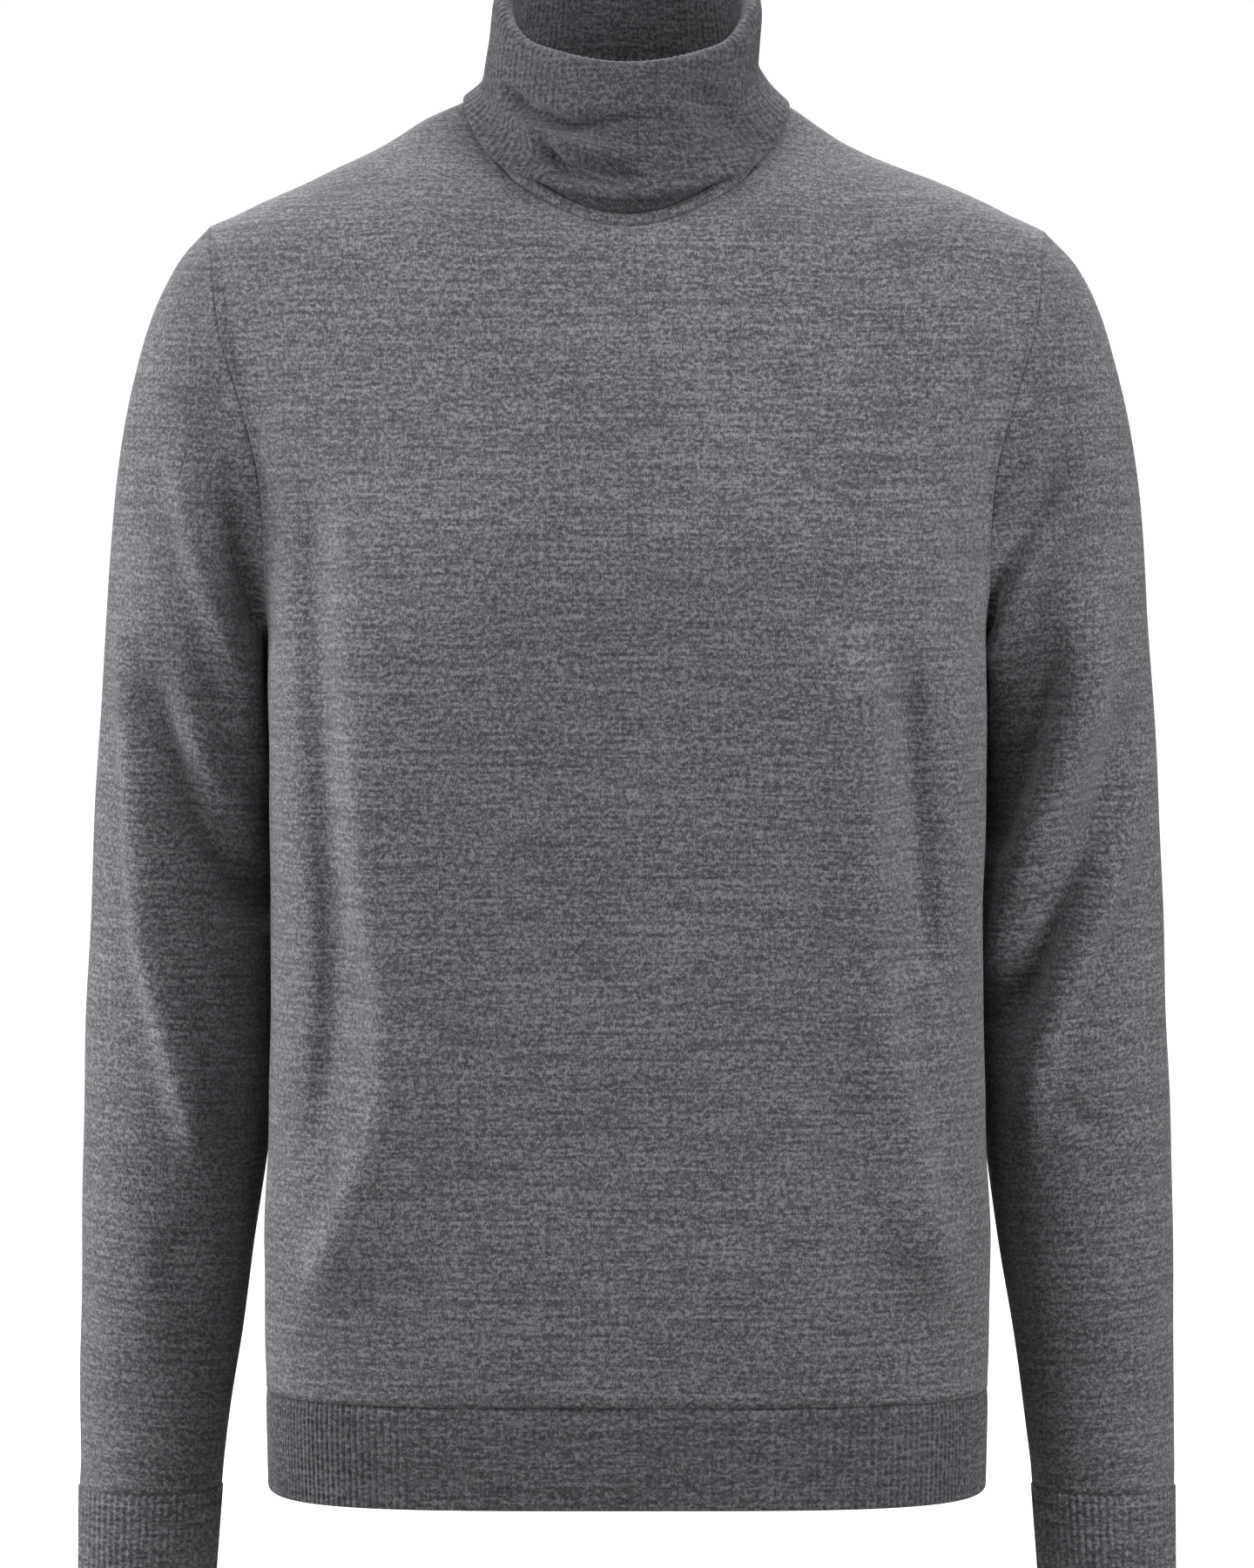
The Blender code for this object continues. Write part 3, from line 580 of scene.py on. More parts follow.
@dataclass(frozen=True)
class KnitGroup:
    """The shader group of melange yarn knitted in fine stitches, read from the cloth's UV map, with
    painted shade in the stitches' hollows and painted highlight on their tops.
    """

    name: str = "Melange knit"
    streaks: tuple[Streaks, ...] = (
        Streaks(0.0014, 0.0009, 2.5),
        Streaks(0.0050, 0.0009, 1.2),
        Streaks(0.0150, 0.0010, 1.0),
        Streaks(0.0420, 0.0014, 1.0),
        Streaks(0.0400, 0.0180, 0.40),
    )
    drift_scale: float = 160.0
    wale_drift: float = 0.35
    course_drift: float = 0.5
    leg_power: float = 0.7
    loop_power: float = 0.6
    stitch_contrast: float = 1.1
    speck_scale: float = 1400.0
    speck_height: float = 0.6
    # Painted shade: below shade_level a stitch's colour is darkened in its hollows, and above it
    # lightened on its top, by shade.
    shade_level: float = 0.55
    shade: float = 0.30

    def tree(self) -> bpy.types.NodeTree:
        """The group's node tree, built once."""
        found = bpy.data.node_groups.get(self.name)
        if found:
            return found
        tree = bpy.data.node_groups.new(self.name, "ShaderNodeTree")
        for name, kind, way in (
            ("Flat place", "Vector", "INPUT"),
            ("Wales per metre", "Float", "INPUT"),
            ("Courses per metre", "Float", "INPUT"),
            ("Yarn", "Color", "INPUT"),
            ("Dark fibre", "Color", "INPUT"),
            ("Light fibre", "Color", "INPUT"),
            ("Fleck", "Float", "INPUT"),
            ("Colour", "Color", "OUTPUT"),
            ("Height", "Float", "OUTPUT"),
        ):
            tree.interface.new_socket(name, in_out=way, socket_type=f"NodeSocket{kind}")
        self.fill(NodeSheet(tree))
        return tree

    def fill(self, sheet: NodeSheet) -> None:
        """Lays the group's nodes.

        Args:
            sheet: The empty group.
        """
        of = sheet.math
        given = sheet.tree.nodes.new("NodeGroupInput").outputs
        place = given["Flat place"]
        split = sheet.add("SeparateXYZ", {0: place})
        across, up = split.outputs[0], split.outputs[1]
        drift = of("SUBTRACT", sheet.noise(place, self.drift_scale, detail=1.0), 0.5)
        wale = of("MULTIPLY", across, given["Wales per metre"])
        wale = of("ADD", wale, of("MULTIPLY", drift, self.wale_drift))
        course = of("MULTIPLY", up, given["Courses per metre"])
        course = of("ADD", course, of("MULTIPLY", drift, self.course_drift))
        beside = of("ABSOLUTE", of("SUBTRACT", of("FRACT", wale), 0.5))
        slanted = of("ADD", course, beside)
        leg = of("ABSOLUTE", of("SINE", of("MULTIPLY", wale, 2 * math.pi)))
        loop = of("ABSOLUTE", of("SINE", of("MULTIPLY", slanted, math.pi)))
        leg, loop = of("POWER", leg, self.leg_power), of("POWER", loop, self.loop_power)
        height = of("MULTIPLY", leg, loop)

        # Each stitch has two legs, and each leg has a tone of its own.
        cell = sheet.vector(of("FLOOR", of("MULTIPLY", wale, 2.0)), of("FLOOR", slanted))
        chance = sheet.add("TexWhiteNoise", {"Vector": cell}).outputs[0]
        fibre = of("MULTIPLY", of("SUBTRACT", chance, 0.5), self.stitch_contrast)
        for streak in self.streaks:
            stretched = sheet.vector(
                of("MULTIPLY", across, 0.5 / streak.length), of("MULTIPLY", up, 0.5 / streak.height)
            )
            patch = of("SUBTRACT", sheet.noise(stretched, 1.0, detail=1.0), 0.5)
            fibre = of("MULTIPLY_ADD", patch, streak.contrast, fibre)
        fibre = of("MULTIPLY", fibre, given["Fleck"])
        # Painted shade and highlight: the colour darkens where a stitch sinks and lightens where it
        # stands up; from here on fibre carries the yarn's tone and this painted shading.
        sunk = of("MULTIPLY", of("SUBTRACT", height, self.shade_level), self.shade)
        fibre = of("ADD", fibre, sunk)
        lighter = of("MINIMUM", of("MAXIMUM", fibre, 0.0), 1.0)
        darker = of("MINIMUM", of("MAXIMUM", of("MULTIPLY", fibre, -1.0), 0.0), 1.0)
        colour = sheet.mix(lighter, given["Yarn"], given["Light fibre"])
        speck = of("MULTIPLY", sheet.noise(place, self.speck_scale, detail=2.0), self.speck_height)
        sheet.feed(sheet.tree.nodes.new("NodeGroupOutput"), {
            "Colour": sheet.mix(darker, colour, given["Dark fibre"]),
            "Height": of("ADD", height, speck),
        })


@dataclass(frozen=True)
class KnitFinish:
    """One knit of the sweater's yarn: its stitches, its colours and its fuzz."""

    name: str
    slot: str
    wales_per_metre: float
    yarn: Colour
    dark: Colour
    light: Colour
    courses_per_metre: float = 1000.0
    fleck: float = 1.3
    relief: float = 0.00022
    bump: float = 0.9
    roughness: float = 0.92
    gloss: float = 0.25
    fuzz: float = 0.30
    fuzz_roughness: float = 0.45
    fuzz_tint: Colour = (0.86, 0.86, 0.90)

    def material(self) -> bpy.types.Material:
        """The material, built once."""
        found = bpy.data.materials.get(self.name)
        if found:
            return found
        made = bpy.data.materials.new(self.name)
        made.use_nodes = True
        sheet = NodeSheet(made.node_tree)
        place = sheet.add("UVMap", uv_map="UVMap")
        knit = sheet.feed(sheet.add("Group", node_tree=KnitGroup().tree()), {
            "Flat place": place.outputs[0],
            "Wales per metre": self.wales_per_metre,
            "Courses per metre": self.courses_per_metre,
            "Yarn": (*self.yarn, 1.0),
            "Dark fibre": (*self.dark, 1.0),
            "Light fibre": (*self.light, 1.0),
            "Fleck": self.fleck,
        })
        height = knit.outputs["Height"]
        bump = sheet.add("Bump", {"Distance": self.relief, "Strength": self.bump, "Height": height})
        sheet.feed(made.node_tree.nodes["Principled BSDF"], {
            "Base Color": knit.outputs["Colour"],
            "Normal": bump.outputs[0],
            "Roughness": self.roughness,
            "Metallic": 0.0,
            "Specular IOR Level": self.gloss,
            "Sheen Weight": self.fuzz,
            "Sheen Roughness": self.fuzz_roughness,
            "Sheen Tint": (*self.fuzz_tint, 1.0),
        })
        return made


JERSEY = KnitFinish(
    "Melange_jersey", "jersey", 720.0,
    yarn=(0.150, 0.148, 0.160), dark=(0.070, 0.069, 0.076), light=(0.300, 0.298, 0.315),
)
RIB = KnitFinish(
    "Melange_rib", "rib", 640.0,
    yarn=(0.110, 0.108, 0.118), dark=(0.055, 0.054, 0.060), light=(0.228, 0.226, 0.241),
)
# A lighter copy of the rib yarn for the cuffs: painted light, where the cuffs get less light than
# the hem.
CUFF_RIB_PAINTED_LIGHTER = KnitFinish(
    "Melange_cuff_rib_painted_light", "rib", 640.0,
    yarn=(0.136, 0.134, 0.146), dark=(0.068, 0.067, 0.074), light=(0.276, 0.274, 0.290),
)
# A darker copy of the rib yarn for the roll neck: painted shade.
NECK_RIB_PAINTED_SHADE = KnitFinish(
    "Melange_neck_rib_painted_shade", "rib", 640.0,
    yarn=(0.074, 0.072, 0.081), dark=(0.036, 0.035, 0.040), light=(0.158, 0.156, 0.169),
)


# ---------------------------------------------------------------- a wall of knit


@dataclass
class KnitWall:
    """A closed wall of knit between the face that shows and the face behind it.

    Both faces and the flat map have one grid of rows and columns. The last column of a closed
    grid repeats the first. Points are in millimetres and the flat map in metres.
    """

    name: str
    shown: np.ndarray
    hidden: np.ndarray
    flat: np.ndarray
    closed: bool

    def build(self) -> bpy.types.Object:
        """Makes the wall as one mesh, with its faces outwards.

        Returns:
            The new object, at the origin.
        """
        rows, columns = self.shown.shape[:2]
        bm = bmesh.new()
        place = bm.verts.layers.int.new("place")
        seen = bm.verts.layers.int.new("seen")
        flat_map = bm.loops.layers.uv.new("UVMap")
        bmesh.ops.create_grid(bm, x_segments=columns - 1, y_segments=rows - 1, size=1.0)
        shown, hidden = (
            POSTURE.settle(grid.reshape(-1, 3)) * MM for grid in (self.shown, self.hidden)
        )
        flat = self.flat.reshape(-1, 2)
        bm.verts.ensure_lookup_table()
        seats = np.array([vert.co[:2] for vert in bm.verts])
        across = np.rint((seats[:, 0] + 1) / 2 * (columns - 1)).astype(int)
        up = np.rint((seats[:, 1] + 1) / 2 * (rows - 1)).astype(int)
        for vert, index in zip(bm.verts, (up * columns + across).tolist()):
            vert[place] = index
            vert.co = hidden[index]
        for face in bm.faces:
            for loop in face.loops:
                loop[flat_map].uv = flat[loop.vert[place]]
        if self.closed:
            ends = [v for v in bm.verts if v[place] % columns in (0, columns - 1)]
            bmesh.ops.remove_doubles(bm, verts=ends, dist=MERGE_DISTANCE)
        made = bmesh.ops.extrude_face_region(bm, geom=bm.faces[:], use_keep_orig=True)
        for vert in made["geom"]:
            if isinstance(vert, bmesh.types.BMVert):
                vert.co = shown[vert[place]]
                vert[seen] = 1
        bmesh.ops.recalc_face_normals(bm, faces=bm.faces[:])
        for face in bm.faces:
            face.smooth = len({vert[seen] for vert in face.verts}) == 1
        mesh = bpy.data.meshes.new(self.name)
        bm.to_mesh(mesh)
        bm.free()
        obj = bpy.data.objects.new(self.name, mesh)
        bpy.context.scene.collection.objects.link(obj)
        return obj


@dataclass(frozen=True)
class Cut:
    """The flat size that a piece is knitted to, in metres, and how it is held."""

    width: float
    length: float
    area: float
    held: str = "hung"
    rests_on: tuple[str, ...] = ()


def finish_piece(wall: KnitWall, finish: KnitFinish, node: str) -> bpy.types.Object:
    """Builds a wall, gives it its finish, and seats it in the frame.

    Args:
        wall: The wall to build.
        finish: The knit that it is made in.
        node: The CAD node that it stands for.

    Returns:
        The finished piece.
    """
    obj = wall.build()
    obj.data.materials.append(finish.material())
    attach(obj, "root")
    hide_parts(node)
    LOG.info("%s: %d faces", obj.name, len(obj.data.polygons))
    return obj


def groove(distance: np.ndarray, depth: float = 0.7, reach: float = 1.7) -> np.ndarray:
    """How far the cloth rolls in at a seam, by the distance from it."""
    return -depth * bell(distance, reach)


def armhole_fill(z: np.ndarray, height: float = 2.8, start: float = 13.0, rise: float = 46.0,
                 fall: float = 34.0) -> np.ndarray:
    """How far the cloth fills the corner along the armhole seam.

    Args:
        z: The seam's height.
        height: The most that it is filled.
        start: Where the fill starts, above the underarm.
        rise: The length over which it grows.
        fall: The length over which it dies away below the shoulder's tip.

    Returns:
        How far out the seam is moved.
    """
    low = FORM.underarm_z + start
    return height * ease((z - low) / rise) * ease((FORM.tip_z - z) / fall)


# ---------------------------------------------------------------- the body's panels and hem


@dataclass(frozen=True)
class Panel:
    """The front or back of the body in plain knit, from the hem's rib to the neckline."""

    side: Side
    columns: int
    cut: Cut
    folds: tuple[Fold, ...]
    unevenness: Unevenness
    side_rows: int = 124
    armhole_rows: int = 66
    shoulder_rows: int = 26
    thickness: float = 1.8
    neck_blend: float = 0.25
    roll: float = 1.3
    roll_place: float = 2.9
    roll_reach: float = 2.2
    roll_fade: tuple[float, float] = (30.0, 40.0)
    seam_fade: float = 15.0
    seam_share: float = 0.8
    calm: tuple[float, float, float] = (14.0, 20.0, 14.0)
    fill_reach: float = 2.6

    def plain(self) -> np.ndarray:
        """The rows of points of the panel with no folds, from the hem up."""
        form, side, columns = FORM, self.side, self.columns
        front = side is Side.FRONT
        neck_middle = NECKLINE.heights[0] if front else NECKLINE.heights[-1]
        tip_middle = form.front_tip_middle_z if front else form.back_tip_middle_z
        rows = []
        for z in np.linspace(form.hem_top_z, form.underarm_z, self.side_rows + 1)[:-1]:
            rows.append(((float(form.half_width(z)), z), z, 0.0, 0.0))
        armhole = form.armhole_side(side, self.armhole_rows)
        middles = np.linspace(form.underarm_z, tip_middle, self.armhole_rows + 1)
        rows += [((x, z), middle, 0.0, 0.0) for (x, _, z), middle in zip(armhole, middles)]
        for share in np.linspace(0, 1, self.shoulder_rows + 1)[1:]:
            z = form.tip_z + (NECKLINE.heights[2] - form.tip_z) * share
            middle = tip_middle + (neck_middle - tip_middle) * share
            neck = max(0.0, share - 1 + self.neck_blend) / self.neck_blend
            rows.append(((float(form.half_width(z)), z), middle, share if front else 0.0, neck))
        return np.array([
            form.row(edge, middle, side, columns, roundness, neck)
            for edge, middle, roundness, neck in rows
        ])

    def welt(self, plain: np.ndarray, from_edge: np.ndarray) -> np.ndarray:
        """The panel's edge along its seams: rolled up beside the armhole, flat elsewhere.

        Args:
            plain: The panel's points.
            from_edge: Their distance from the nearer side edge.

        Returns:
            How far the edge moves each point out.
        """
        over, under = plain[..., 2] - FORM.underarm_z, FORM.tip_z - plain[..., 2]
        beside = ease(under / self.roll_fade[1]) * ease(over / self.roll_fade[0])
        roll = self.roll * bell(from_edge - self.roll_place, self.roll_reach)
        side_seam = 1 - self.seam_share * ease(over / self.seam_fade + 1)
        return beside * roll + groove(from_edge, depth=0.25, reach=1.3) * side_seam

    def build(self) -> bpy.types.Object:
        """Builds the panel and returns it."""
        plain = self.plain()
        normals = FORM.normals(plain, self.side)
        across, down = lengths_across(plain), lengths_down(plain)
        lift = lift_of(self.folds, plain)
        from_edge = np.minimum(across, across[:, -1:] - across)
        to_side, to_hem, to_neck = self.calm
        calm = ease(from_edge / to_side) * ease(down / to_hem) * ease((down[-1] - down) / to_neck)
        lift = lift + self.unevenness.lift(plain) * calm
        lift += self.welt(plain, from_edge)
        lift += groove(down[-1] - down, depth=0.5, reach=1.4)
        shown = plain + normals * lift[..., None]
        fill = armhole_fill(plain[:, :1, 2]) * bell(from_edge, self.fill_reach)
        shown[..., 1] += self.side.towards * fill
        hidden = shown - normals * self.thickness
        flat = FORM.flat_place(plain, self.side) * MM
        wall = KnitWall(f"{self.side.value}_panel_knit", shown, hidden, flat, closed=False)
        return finish_piece(wall, JERSEY, f"{self.side.value}_panel")


@dataclass(frozen=True)
class RibProfile:
    """The ribs of a ribbed knit: how high they stand, and how wide their crests are."""

    relief: float = 0.7
    fullness: float = 0.75

    def lift(self, phase: np.ndarray) -> np.ndarray:
        """How far a rib stands above its furrow, by its phase; a whole number is a crest."""
        return self.relief * ((1 + np.cos(2 * math.pi * phase)) / 2) ** self.fullness


@dataclass(frozen=True)
class RoundedRows:
    """Rows that round off a wall's free edge, as a selvedge is round."""

    thickness: float
    steps: int = 4
    thinnest: float = 0.12

    def offsets(self) -> np.ndarray:
        """The distances of the rows from the edge."""
        turn = np.linspace(0, math.pi / 2, self.steps + 1)
        return self.thickness / 2 * (1 - np.cos(turn))

    def fullness(self, distance: np.ndarray) -> np.ndarray:
        """The share of the wall's thickness at a distance from the edge."""
        short = np.clip(1 - distance / (self.thickness / 2), 0, 1)
        return np.maximum(np.sqrt(1 - short**2), self.thinnest)


@dataclass(frozen=True)
class Ribbing:
    """A flat or closed band of ribs with one free edge, which is rounded off."""

    ribs: int
    rows: int
    per_rib: int = 6
    thickness: float = 2.0
    even_from: float = 3.5
    profile: RibProfile = RibProfile()

    @property
    def columns(self) -> int:
        """The number of steps across all the ribs."""
        return self.ribs * self.per_rib

    @property
    def edge(self) -> RoundedRows:
        """The rows that round off the free edge."""
        return RoundedRows(self.thickness + self.profile.relief)

    def distances(self, length: float) -> np.ndarray:
        """The rows' distances from the free edge, for a band of some length."""
        even = np.linspace(self.even_from, length, self.rows)
        return np.concatenate([self.edge.offsets(), even])

    def wall(self, name: str, points: np.ndarray, normals: np.ndarray, distances: np.ndarray,
             width: float, flare: np.ndarray | None = None) -> KnitWall:
        """Raises the ribs.

        Args:
            name: The wall's name.
            points: The band's rows of points, from its free edge.
            normals: The outward directions.
            distances: Each row's distance from the free edge.
            width: The band's flat width in metres.
            flare: How far each row of a flat band is moved out. A closed one has none.

        Returns:
            The wall. A flat band starts in a furrow, and a closed one on a crest.
        """
        closed = flare is None
        phase = np.arange(self.columns + 1) / self.per_rib + (0.0 if closed else 0.5)
        ribs = self.profile.lift(phase)[None, :] - self.profile.relief / 2
        full = self.edge.fullness(distances)[:, None]
        middle = -self.thickness / 2
        outer = middle + (ribs + (0.0 if closed else flare[:, None]) - middle) * full
        inner = middle + (-(self.thickness + self.profile.relief / 2) - middle) * full
        shown, hidden = (points + normals * lift[..., None] for lift in (outer, inner))
        flat = np.stack(np.meshgrid(phase * (width / self.ribs), distances * MM), axis=-1)
        return KnitWall(name, shown, hidden, flat, closed)


@dataclass(frozen=True)
class HemRib:
    """Half of the ribbed band round the hem."""

    side: Side
    cut: Cut
    ribbing: Ribbing = Ribbing(144, 12)
    flare: float = -0.8
    flare_reach: float = 5.0

    def build(self) -> bpy.types.Object:
        """Builds the band and returns it."""
        length = FORM.hem_top_z - FORM.hem_bottom_z
        distances = self.ribbing.distances(length)
        points = np.array([
            FORM.row((float(FORM.half_width(z)), z), z, self.side, self.ribbing.columns)
            for z in FORM.hem_bottom_z + distances
        ])
        flare = self.flare * bell(length - distances, self.flare_reach)
        name, normals = f"hem_rib_{self.side.value}", FORM.normals(points, self.side)
        knit = f"{name}_knit"
        wall = self.ribbing.wall(knit, points, normals, distances, self.cut.width, flare)
        return finish_piece(wall, RIB, name)


# ---------------------------------------------------------------- sleeves and cuffs


@dataclass(frozen=True)
class SleeveForm:
    """The sleeve's stations. Each joins a point on its outer line to one on its inner line."""

    stations: Table = (
        # outer x, y, z, inner x, y, z, depth, roundness
        (219.5, 0, -78, 177.4, 6, -271, 61, 0.15),
        (230, 0.5, -98, 177.3, 10, -279, 62.5, 0.35),
        (239, 2, -124, 177.1, 13.5, -289, 63.5, 0.6),
        (246.3, 4, -154, 176.8, 16, -301, 64, 0.8),
        (251.2, 7, -187, 176.4, 18, -318, 64, 1),
        (254.7, 11, -220, 176, 20, -339, 63.5, 1),
        (257.7, 15, -255, 175.6, 22, -363, 62.5, 1),
        (260.7, 19, -293, 175.3, 23.5, -390, 61, 1),
        (263.5, 22, -333, 175.1, 24, -419, 59, 1),
        (265.7, 24, -374, 175.4, 24, -449, 57, 1),
        (267.5, 23, -416, 176.2, 23, -480, 55, 1),
        (269, 20.5, -459, 178.2, 20.5, -511, 52.5, 1),
        (270.2, 17, -502, 181.8, 17, -542, 49.5, 1),
        (271, 12.5, -545, 186.2, 12.5, -573, 46, 1),
        (271.4, 7.5, -588, 191, 7.5, -604, 41.5, 1),
        (271.6, 3, -634, 196.4, 3, -640, 36.5, 1),
        (271.6, 0, -684, 201.2, 0, -684, 31.5, 1),
    )
    cuff: Table = (
        (272, 0, -684, 200.8, 0, -684, 31.2, 1),
        (272.4, -2, -746, 205.5, -2, -746, 29, 1),
    )

    @staticmethod
    def axes(station: np.ndarray) -> tuple[np.ndarray, np.ndarray, np.ndarray, float]:
        """A station's middle, its half line to the outside, the way out of it, its half length."""
        outer, inner = station[:3], station[3:6]
        half = (outer - inner) / 2
        length = np.linalg.norm(half)
        return (outer + inner) / 2, half, np.array([half[2], 0.0, -half[0]]) / length, length

    @classmethod
    def ring(cls, station: np.ndarray, shape: np.ndarray) -> np.ndarray:
        """Sets a ring's shape, along its height, its depth and out of it, at a station."""
        middle, half, away, length = cls.axes(station)
        depth = np.array([0.0, station[6], 0.0])
        return middle + shape[:, :1] * half + shape[:, 1:2] * depth + shape[:, 2:] * away * length

    @staticmethod
    def ellipse(columns: int) -> np.ndarray:
        """The plain round shape of a ring, inner line first, then the front."""
        turn = np.linspace(0, 2 * math.pi, columns, endpoint=False)
        return np.stack([-np.cos(turn), -np.sin(turn), np.zeros(columns)], axis=1)

    def surface(self, steps: int, rows: int) -> tuple[np.ndarray, np.ndarray]:
        """The wearer's left sleeve with no folds.

        Args:
            steps: Divisions of half a ring.
            rows: Divisions of its length.

        Returns:
            The points, closed round, and each row's place among the stations.
        """
        armhole = FORM.armhole_ring(steps)
        depth = np.abs(armhole[:, 1]).max()
        top, low = FORM.armhole[0], FORM.armhole[-1]
        first = np.array([top[1], 0.0, top[0], low[1], 0.0, low[0], depth, 0.0])
        table = np.vstack([first, self.stations])
        middle, half, away, length = self.axes(first)
        offset = armhole - middle
        own = np.stack(
            [offset @ half / length**2, offset[:, 1] / depth, offset @ away / length], axis=1
        )
        middles = (table[:, :3] + table[:, 3:6]) / 2
        reach = np.concatenate([[0], np.cumsum(np.linalg.norm(np.diff(middles, axis=0), axis=1))])
        places = np.interp(np.linspace(0, reach[-1], rows + 1), reach, np.arange(len(table)))
        fine = smooth_rows(np.arange(len(table)), table, places)
        ellipse = self.ellipse(len(armhole))
        rings = []
        for station in fine:
            shape = (1 - station[7]) * own + station[7] * ellipse
            rings.append(close(self.ring(station, shape)))
        return np.array(rings), places

    def flat_place(self, points: np.ndarray, outer_column: int, lean: float = 0.085) -> np.ndarray:
        """Lays the sleeve's surface out flat, with courses square to its length.

        Args:
            points: Points of the wearer's left sleeve, closed round.
            outer_column: The column that holds the sleeve's outer line.
            lean: How far the sleeve's length leans out.

        Returns:
            The length round from the outer line and the length down, for each point.
        """
        table, z = np.array(self.stations), -points[..., 2]
        outer = np.interp(z, -table[:, 2], table[:, 0])
        inner = np.interp(z, -table[:, 5], table[:, 3])
        middle_z = -(table[:, 2] + table[:, 5]) / 2
        middle_y = np.interp(z, middle_z, table[:, 1])
        depth = np.interp(z, middle_z, table[:, 6])
        half = (outer - inner) / 2
        turn = np.arctan2(
            (points[..., 1] - middle_y) / depth, (points[..., 0] - (outer + inner) / 2) / half
        )
        turn = np.unwrap(turn, axis=1)
        whole = np.rint(turn[:, outer_column] / (2 * math.pi)) * 2 * math.pi
        reach = (turn - whole[:, None]) * np.sqrt((half**2 + depth**2) / 2)
        return np.stack([reach, z + lean * points[..., 0]], axis=-1)


SLEEVE_FORM = SleeveForm()


def outward(points: np.ndarray, normals: np.ndarray) -> np.ndarray:
    """The same normals, turned away from the middle of a tube."""
    middles = points.mean(axis=1, keepdims=True)
    return normals if ((points - middles) * normals).sum() > 0 else -normals


@dataclass(frozen=True)
class Sleeve:
    """A full-fashioned sleeve in plain knit, from the armhole to the cuff."""

    hand: Hand
    cut: Cut
    front_folds: tuple[Fold, ...]
    back_folds: tuple[Fold, ...]
    unevenness: Unevenness
    steps: int = 66
    rows: int = 250
    thickness: float = 1.8
    tuck: float = 0.35
    facing: float = 1.6
    fold_fade: float = 2.0
    calm: tuple[float, float] = (25.0, 15.0)
    turn_reach: float = 4.0
    fill_reach: float = 14.0

    def build(self) -> bpy.types.Object:
        """Builds the sleeve and returns it."""
        points, places = SLEEVE_FORM.surface(self.steps, self.rows)
        normals = outward(points, grid_normals(points, closed=True))
        body = FORM.armhole_normals(self.steps)
        across, down = lengths_across(points), lengths_down(points)
        mirror = (self.hand.towards, 1.0, 1.0)
        points, normals, body = points * mirror, normals * mirror, body * mirror
        facing = normals[..., 1] * self.facing
        lift = np.clip(-facing, 0, 1) * lift_of(self.front_folds, points)
        lift += np.clip(facing, 0, 1) * lift_of(self.back_folds, points)
        last = len(SLEEVE_FORM.stations)
        lift *= np.clip(np.minimum(places, last - places) / self.fold_fade, 0, 1)[:, None]
        calm = ease(down / self.calm[0]) * ease((down[-1] - down) / self.calm[1])
        lift += self.unevenness.lift(points) * calm
        seam = np.minimum(across, across[:, -1:] - across)
        lift += groove(seam, depth=0.5, reach=1.6)
        sunk = groove(down, depth=0.06, reach=1.0)
        toward = unit(normals + body[None] * bell(down, self.turn_reach)[..., None])
        shown = points + normals * lift[..., None] + toward * sunk[..., None]
        fill = armhole_fill(points[0, :, 2]) * bell(down, self.fill_reach)
        shown[..., 1] += fill * np.sign(points[0, :, 1])
        shown[0] += unit(shown[0] - shown[1]) * self.tuck
        hidden = shown - normals * self.thickness
        flat = SLEEVE_FORM.flat_place(points * mirror, self.steps) * MM
        wall = KnitWall(f"{self.hand.value}_sleeve_knit", shown, hidden, flat, closed=True)
        return finish_piece(wall, JERSEY, f"{self.hand.value}_sleeve")


@dataclass(frozen=True)
class Cuff:
    """The ribbed band at the end of a sleeve."""

    hand: Hand
    cut: Cut
    ribbing: Ribbing = Ribbing(60, 14)

    def build(self) -> bpy.types.Object:
        """Builds the cuff and returns it."""
        top, end = (np.array(row) for row in SLEEVE_FORM.cuff)
        length = top[2] - end[2]
        distances = self.ribbing.distances(length)
        ellipse = SLEEVE_FORM.ellipse(self.ribbing.columns)
        rings = []
        for distance in distances:
            station = end + (top - end) * (distance / length)
            rings.append(close(SLEEVE_FORM.ring(station, ellipse)))
        points = np.array(rings)
        normals = unit(outward(points, grid_normals(points, closed=True)) * (1, 1, 0))
        mirror, name = (self.hand.towards, 1.0, 1.0), f"{self.hand.value}_cuff"
        wall = self.ribbing.wall(
            f"{name}_knit", points * mirror, normals * mirror, distances, self.cut.width
        )
        # The cuffs wear a lighter copy of the rib yarn: painted light.
        return finish_piece(wall, CUFF_RIB_PAINTED_LIGHTER, name)


# ---------------------------------------------------------------- the neck


def neck_turns(columns: int) -> np.ndarray:
    """Equal turns round the neck, from the front to the wearer's left, the back and the right."""
    return np.linspace(0, 2 * math.pi, columns + 1)


def neckline(columns: int) -> np.ndarray:
    """The whole neckline on the body's surface, its first point repeated at the end."""
    turn = neck_turns(columns)
    share = 1 - np.abs(1 - turn / math.pi)
    x, z = NECKLINE.half_width * np.sin(turn), NECKLINE.height(share)
    front = -FORM.depth(x, z, Side.FRONT)
    y = np.where(share < 0.5, front, FORM.depth(x, z, Side.BACK))
    return np.stack([x, y, z], axis=1)


def ring_steps(ring: np.ndarray) -> np.ndarray:
    """The direction along a closed ring at each of its points."""
    inner = ring[:-1]
    return close(np.roll(inner, -1, axis=0) - np.roll(inner, 1, axis=0))


